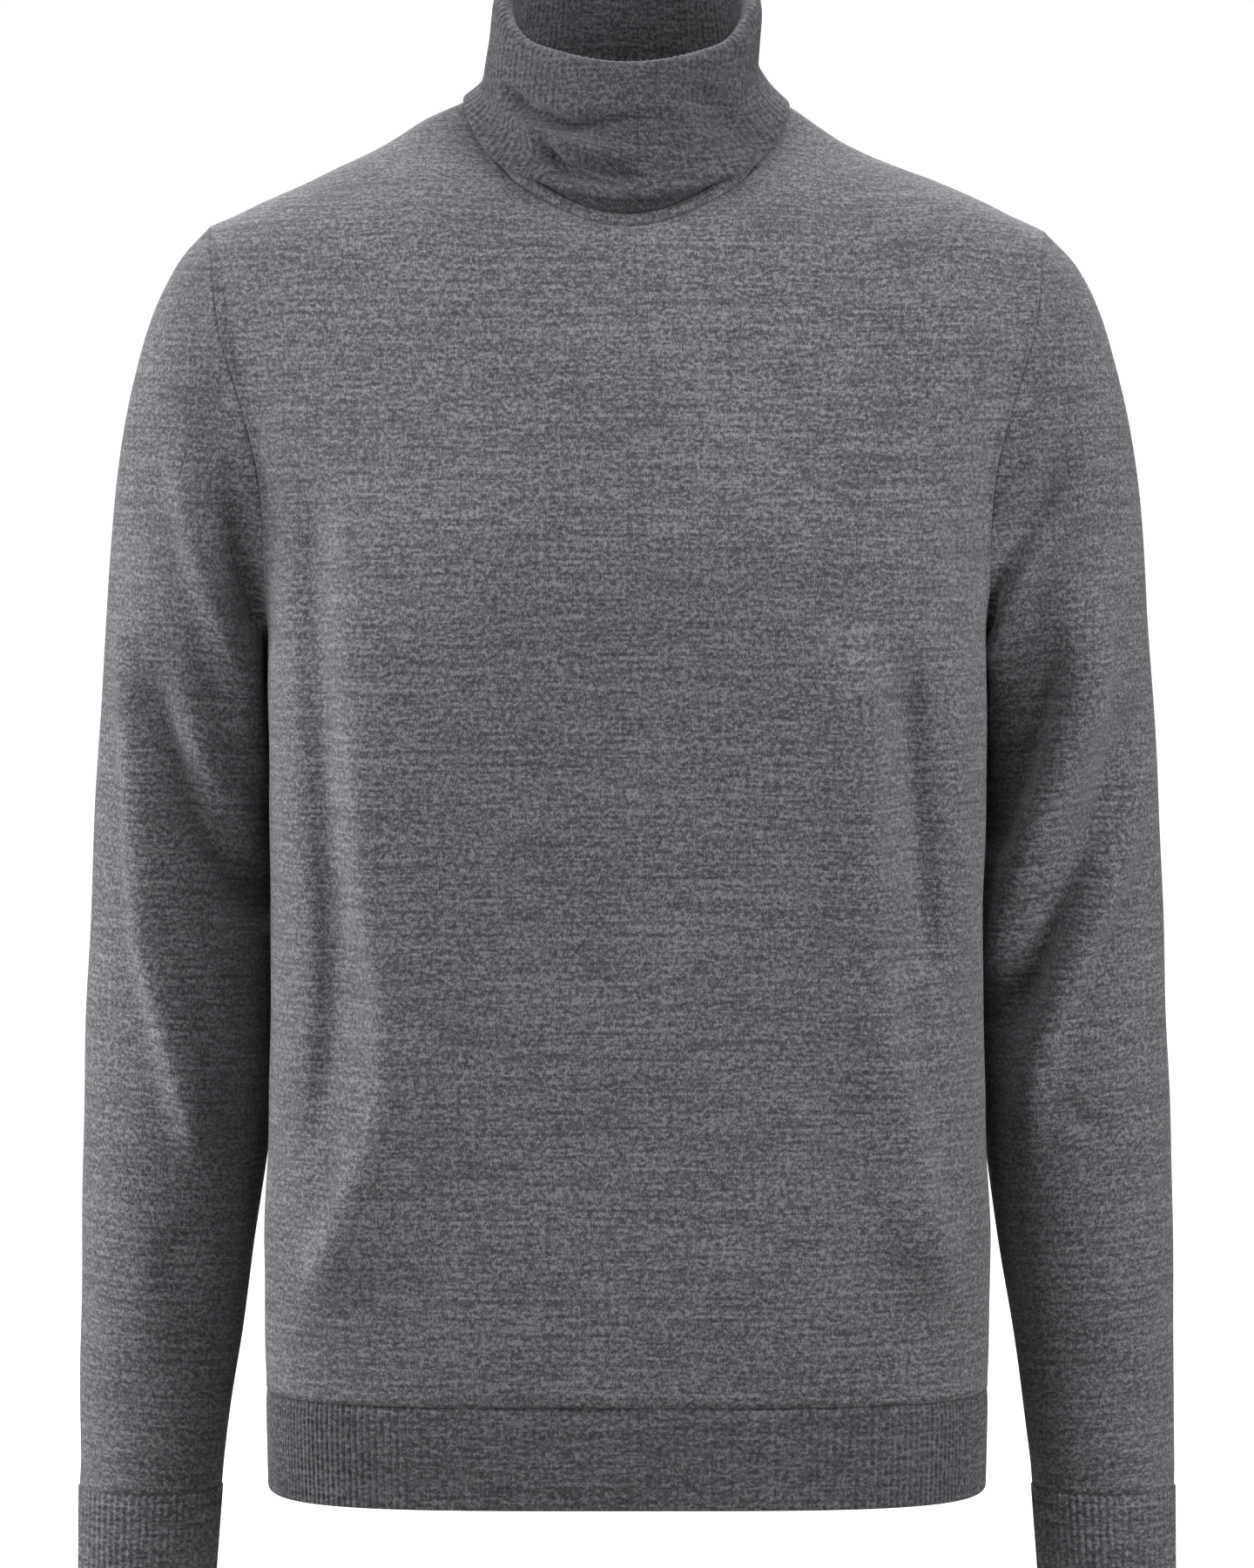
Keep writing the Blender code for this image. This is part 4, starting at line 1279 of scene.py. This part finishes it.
@dataclass(frozen=True)
class NeckBand:
    """The narrow plain band between the neckline and the roll neck."""

    rise: float = 6.0
    lean: float = 0.97
    side_lean: float = 2.1
    thickness: float = 1.8
    puff: float = 0.9
    puff_fullness: float = 0.6
    columns: int = 240
    rows: int = 8

    def sides(self, columns: int) -> tuple[np.ndarray, np.ndarray, np.ndarray, np.ndarray]:
        """The band's lower and upper lines, and the directions up it and out of it."""
        low = neckline(columns)
        side = np.abs(np.sin(neck_turns(columns)))[:, None] ** 2
        high = low * (1 - (1 - self.lean) * (1 + self.side_lean * side * (1, 0, 0)))
        high[:, 2] = low[:, 2] + self.rise
        up = unit(high - low)
        return low, high, up, unit(np.cross(ring_steps(low), up))

    def build(self) -> bpy.types.Object:
        """Builds the band and returns it."""
        low, high, _, across = self.sides(self.columns)
        share = np.linspace(0, 1, self.rows + 1)[:, None, None]
        points = low + (high - low) * share
        puff = self.puff * (np.sin(math.pi * share[..., 0]) ** self.puff_fullness - 0.5)
        shown = points + across * puff[..., None]
        hidden = points - across * self.thickness
        reach = lengths_across(points[:1])[0] * MM
        flat = np.stack(np.meshgrid(reach, share[:, 0, 0] * self.rise * MM), axis=-1)
        wall = KnitWall("neck_band_knit", shown, hidden, flat, closed=True)
        return finish_piece(wall, JERSEY, "neck_band")


@dataclass(frozen=True)
class RollNeck:
    """The ribbed tube of the neck, followed from the band up the inside, over and down."""

    cut: Cut
    band: NeckBand
    folds: tuple[Fold, ...]
    rings: tuple[NeckRing, ...] = (
        NeckRing(63, 79, 57, (-48, -28, 13, 27, 30)),
        NeckRing(59.5, 70, 55.5, (-23, -7.5, 28, 46, 50)),
        NeckRing(57.5, 65, 54, (4.3, 14.3, 44, 67.5, 75)),
        NeckRing(58.7, 66.2, 55.2, (9.6, 19.4, 49.3, 72.8, 80.8)),
        NeckRing(61, 68.6, 58, (11.8, 21.6, 51.6, 75.2, 83.2)),
        NeckRing(63.6, 71.4, 60.6, (9.6, 19.4, 49.3, 72.8, 80.8)),
        NeckRing(64.8, 73.4, 62, (3.5, 13, 43, 65, 73.5)),
        NeckRing(65, 76, 63.5, (-8.5, 1.5, 31, 51, 58), -1),
        NeckRing(65.6, 76.5, 63.6, (-21.5, -10, 18.2, 36, 43), -2.4),
        NeckRing(69.2, 80, 65.8, (-38, -23.5, 7.8, 22, 29), -0.7),
        NeckRing(79.8, 84, 70, (-54, -38.5, -2.2, 7.5, 14), -0.3),
    )
    ribs: int = 112
    per_rib: int = 6
    rows: int = 66
    hidden_share: float = 0.36
    hidden_rows: int = 12
    edge_length: float = 3.0
    seat: float = 0.7
    seat_inside: float = 0.9
    facing: float = 1.6
    folds_from: float = 5.5
    folds_grow: float = 1.5
    thickness: float = 2.0
    profile: RibProfile = RibProfile(0.45)

    @property
    def edge(self) -> RoundedRows:
        """The rows that round off the free edge."""
        return RoundedRows(self.thickness + self.profile.relief)

    def middle(self, columns: int) -> tuple[np.ndarray, np.ndarray]:
        """The middle of the fabric with no folds, foot to free edge.

        Args:
            columns: Steps round the neck.

        Returns:
            The points, closed round, and each row's place among the rings, the foot being 0.
        """
        _, top, up, across = self.band.sides(columns)
        foot = top + up * self.seat - across * self.seat_inside
        turn = neck_turns(columns)
        share = 1 - np.abs(1 - turn / math.pi)
        coarse = [foot]
        for ring in self.rings:
            depth = np.where(np.cos(turn) > 0, ring.front, ring.back)
            x, y = ring.half_width * np.sin(turn) + ring.shift, -depth * np.cos(turn)
            coarse.append(np.stack([x, y, ring.height(share)], axis=1))
        coarse = np.array(coarse)
        reach = lengths_down(coarse).mean(axis=1)
        whole, hidden = reach[-1], self.hidden_share * reach[-1]
        shown_rows = self.rows - self.edge.steps - self.hidden_rows
        wanted = np.concatenate([
            np.linspace(0, hidden, self.hidden_rows, endpoint=False),
            np.linspace(hidden, whole - self.edge_length, shown_rows),
            whole - self.edge.offsets()[::-1],
        ])
        fine = smooth_rows(reach, coarse.reshape(len(coarse), -1), wanted)
        places = np.interp(wanted, reach, np.arange(len(coarse)))
        return fine.reshape(len(wanted), -1, 3), places

    def build(self, trim: bpy.types.Object) -> bpy.types.Object:
        """Builds the roll neck and returns it.

        Args:
            trim: The linked band that it stands on. Not used.

        Returns:
            The roll neck.
        """
        columns = self.ribs * self.per_rib
        points, places = self.middle(columns)
        normals = grid_normals(points, closed=True)
        if normals[-1, 0, 1] > 0:
            normals = -normals
        facing = np.clip(-normals[..., 1] * self.facing, 0, 1)
        facing *= ease((places - self.folds_from) / self.folds_grow)[:, None]
        lift = facing * lift_of(self.folds, points)
        points = points + normals * lift[..., None]
        down = lengths_down(points)
        full = self.edge.fullness(down[-1] - down)
        phase = np.arange(columns + 1) / self.per_rib
        ribs = self.profile.lift(phase)[None, :] * np.ones_like(full)
        shown = points + normals * ((self.thickness / 2 + ribs) * full)[..., None]
        hidden = points - normals * (self.thickness / 2 * full)[..., None]
        pitch = self.cut.width / self.ribs
        flat = np.stack([phase * pitch + 0 * down, down * MM], axis=-1)
        wall = KnitWall("roll_neck_knit", shown, hidden, flat, closed=True)
        # The roll neck wears a darker copy of the rib yarn: painted shade.
        return finish_piece(wall, NECK_RIB_PAINTED_SHADE, "roll_neck")


# ---------------------------------------------------------------- the studio


def direction(turn: float, rise: float) -> Vector:
    """The direction at a turn round the sweater from its front and at a rise, in degrees."""
    turn, rise = math.radians(turn), math.radians(rise)
    level = math.cos(rise)
    return Vector((math.sin(turn) * level, -math.cos(turn) * level, math.sin(rise)))


def look_at(name: str, data: bpy.types.ID, middle: Vector, way: Vector,
            away: float) -> bpy.types.Object:
    """Places a lamp or a camera.

    Args:
        name: Its name.
        data: The lamp or the camera.
        middle: What it looks at.
        way: The direction from there to it.
        away: Its distance from there.

    Returns:
        The new object.
    """
    obj = bpy.data.objects.new(name, data)
    obj.location = middle + way * away
    obj.rotation_mode = "QUATERNION"
    obj.rotation_quaternion = way.to_track_quat("Z", "Y")
    bpy.context.scene.collection.objects.link(obj)
    return obj


@dataclass(frozen=True)
class SoftBox:
    """A large soft lamp that looks at the sweater, turned round it from the front and raised."""

    name: str
    turn: float
    rise: float
    power: float
    size: tuple[float, float] = (0.6, 1.0)
    away: float = 1.6
    middle: tuple[float, float, float] = (0.0, 0.0, -0.36)

    def build(self) -> bpy.types.Object:
        """Builds the lamp and returns it."""
        light = bpy.data.lights.new(self.name, "AREA")
        light.shape = "RECTANGLE"
        light.size, light.size_y = self.size
        light.energy = self.power
        way = direction(self.turn, self.rise)
        return look_at(self.name, light, Vector(self.middle), way, self.away)


@dataclass(frozen=True)
class Studio:
    """The pale floor, the soft light and the camera."""

    floor_z: float = -0.80
    floor_reach: float = 60.0
    floor_glow: float = 1.1
    floor_grey: float = 0.25
    world: float = 0.03
    world_seen: float = 1.05
    distance: float = 2.7
    elevation: float = 2.5
    aim: tuple[float, float, float] = (0.0, 0.0, -0.336)
    frame_height: float = 0.774
    lamps: tuple[SoftBox, ...] = (
        SoftBox("Left_softbox", -95, 8, 14.2),
        SoftBox("Left_side_softbox", -80, 8, 7.7),
        SoftBox("Left_front_softbox", -50, 8, 2.7),
        SoftBox("Front_softbox", -30, 8, 2.2),
        SoftBox("Upper_left_softbox", -60, 45, 6.8),
        SoftBox("Right_softbox", 52, 8, 11),
        SoftBox("Upper_right_softbox", 60, 45, 9.4),
        SoftBox("Upper_front_softbox", 0, 62, 4.5),
        SoftBox("Back_softbox", 180, 50, 29, (1, 0.7)),
    )

    def build(self) -> None:
        """Builds everything in the studio."""
        self.build_camera()
        self.build_floor()
        self.build_world()
        for lamp in self.lamps:
            lamp.build()

    def build_camera(self) -> None:
        """Sets the camera at the front, slightly above the middle."""
        camera = bpy.data.cameras.new("Camera")
        camera.sensor_width = 36.0
        camera.lens = camera.sensor_width * self.distance / self.frame_height
        camera.clip_end = 200.0
        bpy.context.scene.camera = look_at(
            "Camera", camera, Vector(self.aim), direction(0.0, self.elevation), self.distance
        )

    def build_floor(self) -> None:
        """Lays a plain pale floor."""
        bm = bmesh.new()
        bmesh.ops.create_grid(bm, x_segments=1, y_segments=1, size=self.floor_reach)
        bmesh.ops.translate(bm, verts=bm.verts[:], vec=(0.0, 0.0, self.floor_z))
        mesh = bpy.data.meshes.new("Floor")
        bm.to_mesh(mesh)
        bm.free()
        floor = bpy.data.objects.new("Floor", mesh)
        made = bpy.data.materials.new("Pale_floor")
        made.use_nodes = True
        sheet = NodeSheet(made.node_tree)
        path = sheet.add("LightPath")
        sheet.feed(made.node_tree.nodes["Principled BSDF"], {
            "Base Color": (self.floor_grey, self.floor_grey, self.floor_grey, 1.0),
            "Roughness": 0.9,
            "Emission Color": WHITE,
            "Emission Strength": sheet.math(
                "MULTIPLY", path.outputs["Is Camera Ray"], self.floor_glow
            ),
        })
        mesh.materials.append(made)
        bpy.context.scene.collection.objects.link(floor)

    def build_world(self) -> None:
        """Surrounds the studio with white: bright to look at, softer as light."""
        scene = bpy.context.scene
        world = bpy.data.worlds.new("Studio_white")
        world.use_nodes = True
        nodes, sheet = world.node_tree.nodes, NodeSheet(world.node_tree)
        soft = sheet.feed(nodes["Background"], {"Color": WHITE, "Strength": self.world})
        seen = sheet.add("Background", {"Color": WHITE, "Strength": self.world_seen})
        ray = sheet.add("LightPath").outputs["Is Camera Ray"]
        pick = sheet.add("MixShader", {0: ray, 1: soft.outputs[0], 2: seen.outputs[0]})
        sheet.feed(nodes["World Output"], {0: pick.outputs[0]})
        scene.world = world
        scene.view_settings.view_transform = "Standard"
        scene.view_settings.look = "None"


# ---------------------------------------------------------------- the sweater


@dataclass(frozen=True)
class Sweater:
    """All the knitted pieces, with the folds that each of them has."""

    front_folds: tuple[Fold, ...] = (
        Fold(((-130, -185), (-126, -284), (-119, -380), (-112, -440), (-113, -480), (-120, -508),
              (-134, -545), (-150, -590)), 12.4, 14, (200, 40), 0.18),
        Fold(((-154, -166), (-152, -249), (-147, -332), (-143, -415), (-146, -470), (-153, -520)),
             -6.2, 9, (60, 60), 0.3),
        Fold(((108, -250), (112, -349), (118, -446), (130, -495), (144, -554), (154, -590)),
             12.0, 14, (50, 50), -0.18),
        Fold(((134, -262), (140, -332), (144, -374), (147, -435)), -8.4, 8, (40, 50), -0.3),
        Fold(((156, -255), (159, -332), (161, -382), (162, -440)), 2.4, 7, (50, 50)),
        Fold(((152, -196), (156, -217), (157, -236)), -1.6, 5, (18, 18)),
        Fold(((-110, -214), (0, -222), (110, -214)), 2.4, 26, (60, 60), 0.0, Run.ACROSS),
    )
    back_folds: tuple[Fold, ...] = (
        Fold(((-120, -250), (-108, -360), (-92, -480)), 4.0, 13, (70, 60), -0.2),
        Fold(((118, -265), (104, -370), (90, -485)), 3.6, 13, (60, 70), 0.2),
        Fold(((-142, -290), (-132, -400), (-118, -510)), -2.6, 12, (60, 60)),
        Fold(((141, -300), (128, -410), (116, -500)), -2.6, 12, (60, 60)),
        Fold(((-36, -420), (-70, -500), (-115, -585)), -2.8, 15, (60, 40)),
        Fold(((34, -430), (74, -510), (118, -590)), -2.6, 15, (60, 40)),
    )
    right_sleeve_front: tuple[Fold, ...] = (
        Fold(((-206, -92), (-195, -135), (-184, -168)), -2.6, 8, (40, 20)),
        Fold(((-218, -160), (-209, -210), (-200, -248), (-190, -285), (-180, -327), (-173, -356)),
             10.8, 10, (40, 25), 0.25),
        Fold(((-197, -180), (-186, -215), (-178, -240), (-175, -262)), -8.5, 10, (50, 15)),
        Fold(((-238, -262), (-229, -300), (-217, -327), (-198, -360), (-178, -394), (-169, -412)),
             -11.2, 11, (45, 15), -0.1),
        Fold(((-245, -240), (-241, -295), (-238, -327), (-237, -361), (-235, -403), (-226, -450),
              (-215, -497), (-206, -535)), 10.4, 10, (50, 50), 0.3),
        Fold(((-229, -362), (-215, -400), (-200, -441)), 3.0, 8, (30, 35)),
        Fold(((-222, -292), (-200, -335), (-176, -384)), 7.0, 12, (35, 20), 0.2),
        Fold(((-216, -545), (-222, -572), (-214, -600)), -2.4, 9, (20, 30)),
    )
    right_sleeve_back: tuple[Fold, ...] = (
        Fold(((-224, -160), (-206, -240), (-184, -320)), -5.5, 13, (60, 30)),
        Fold(((-236, -180), (-222, -270), (-196, -350)), 4.5, 12, (60, 30)),
        Fold(((-252, -300), (-226, -380), (-188, -450)), -6.5, 13, (50, 30)),
        Fold(((-258, -330), (-240, -410), (-206, -500)), 5.0, 12, (60, 60)),
    )
    left_sleeve_front: tuple[Fold, ...] = (
        Fold(((199, -100), (190, -150), (178, -186)), -2.6, 8, (30, 20)),
        Fold(((209, -142), (193, -180), (175, -212)), 6.8, 8, (30, 12), -0.2),
        Fold(((216, -165), (204, -192), (188, -219), (174, -242)), -6.8, 8, (35, 12)),
        Fold(((203, -203), (188, -243), (180, -281), (174, -330)), 9.6, 10, (35, 25), -0.2),
        Fold(((211, -250), (202, -295), (188, -340), (176, -376)), -6.9, 9, (50, 20)),
        Fold(((227, -230), (223, -295), (207, -342), (191, -394), (178, -444)), 11.2, 11, (50, 30),
             -0.25),
        Fold(((249, -290), (239, -330), (225, -367), (206, -405), (191, -443), (183, -470)),
             -9.8, 10, (45, 40)),
        Fold(((252, -335), (240, -370), (225, -408), (210, -450), (200, -500), (198, -525)),
             9.8, 10, (50, 50), -0.3),
        Fold(((216, -488), (226, -503), (234, -512)), -2.4, 7, (10, 10)),
    )
    left_sleeve_back: tuple[Fold, ...] = (
        Fold(((226, -165), (206, -250), (184, -335)), -5.5, 13, (60, 30)),
        Fold(((254, -320), (226, -400), (190, -470)), -6.5, 13, (50, 30)),
        Fold(((250, -265), (230, -340), (196, -425)), 4.5, 12, (60, 40)),
        Fold(((257, -360), (240, -440), (212, -520)), 4.5, 12, (60, 60)),
    )
    neck_folds: tuple[Fold, ...] = (
        Fold(((-62, 5), (-54, -2), (-42, -10), (-23, -17), (8, -15)), -7.6, 3.9, (10, 40), -0.35,
             Run.ACROSS),
        Fold(((-56, -13), (-44, -20), (-29, -27), (-8, -32), (14, -33)), 4.4, 5.5, (12, 34), -0.2,
             Run.ACROSS),
        Fold(((-44, -24), (-38, -28), (-29, -37), (-8, -42), (16, -44)), -6.8, 3.9, (12, 34), -0.35,
             Run.ACROSS),
        Fold(((-63, 30), (-58, 6)), 1.2, 4, (8, 10)),
        Fold(((34, 6), (44, -10), (50, -26)), -4.6, 9, (14, 14)),
        Fold(((22, -2), (44, 8), (60, 18)), -3.0, 7, (14, 14), 0.0, Run.ACROSS),
    )

    def build(self) -> list[bpy.types.Object]:
        """Builds every piece and returns them, the sleeves last."""
        band = NeckBand()
        linked = band.build()
        pieces = [
            linked,
            Panel(Side.FRONT, 150, Cut(0.52, 0.62, 0.262), self.front_folds, Unevenness(3)).build(),
            Panel(Side.BACK, 116, Cut(0.50, 0.66, 0.262), self.back_folds, Unevenness(5)).build(),
            HemRib(Side.FRONT, Cut(0.46, 0.050, 0.023, rests_on=("front_panel",))).build(),
            HemRib(Side.BACK, Cut(0.43, 0.050, 0.0215, rests_on=("back_panel",))).build(),
            RollNeck(
                Cut(0.42, 0.165, 0.069, "folded", ("neck_band",)), band, self.neck_folds
            ).build(linked),
        ]
        for hand, front, back, seed in (
            (Hand.RIGHT, self.right_sleeve_front, self.right_sleeve_back, 7),
            (Hand.LEFT, self.left_sleeve_front, self.left_sleeve_back, 11),
        ):
            cut = Cut(0.36, 0.62, 0.165, rests_on=("front_panel", "back_panel"))
            pieces += [
                Sleeve(hand, cut, front, back, Unevenness(seed)).build(),
                Cuff(hand, Cut(0.17, 0.062, 0.0105, rests_on=(f"{hand.value}_sleeve",))).build(),
            ]
        return pieces


def main() -> None:
    """Loads the frame, then builds the studio and the sweater."""
    logging.basicConfig(level=logging.INFO, format="%(name)s %(message)s")
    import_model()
    Studio().build()
    pieces = Sweater().build()
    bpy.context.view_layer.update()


if __name__ == "__main__":
    main()
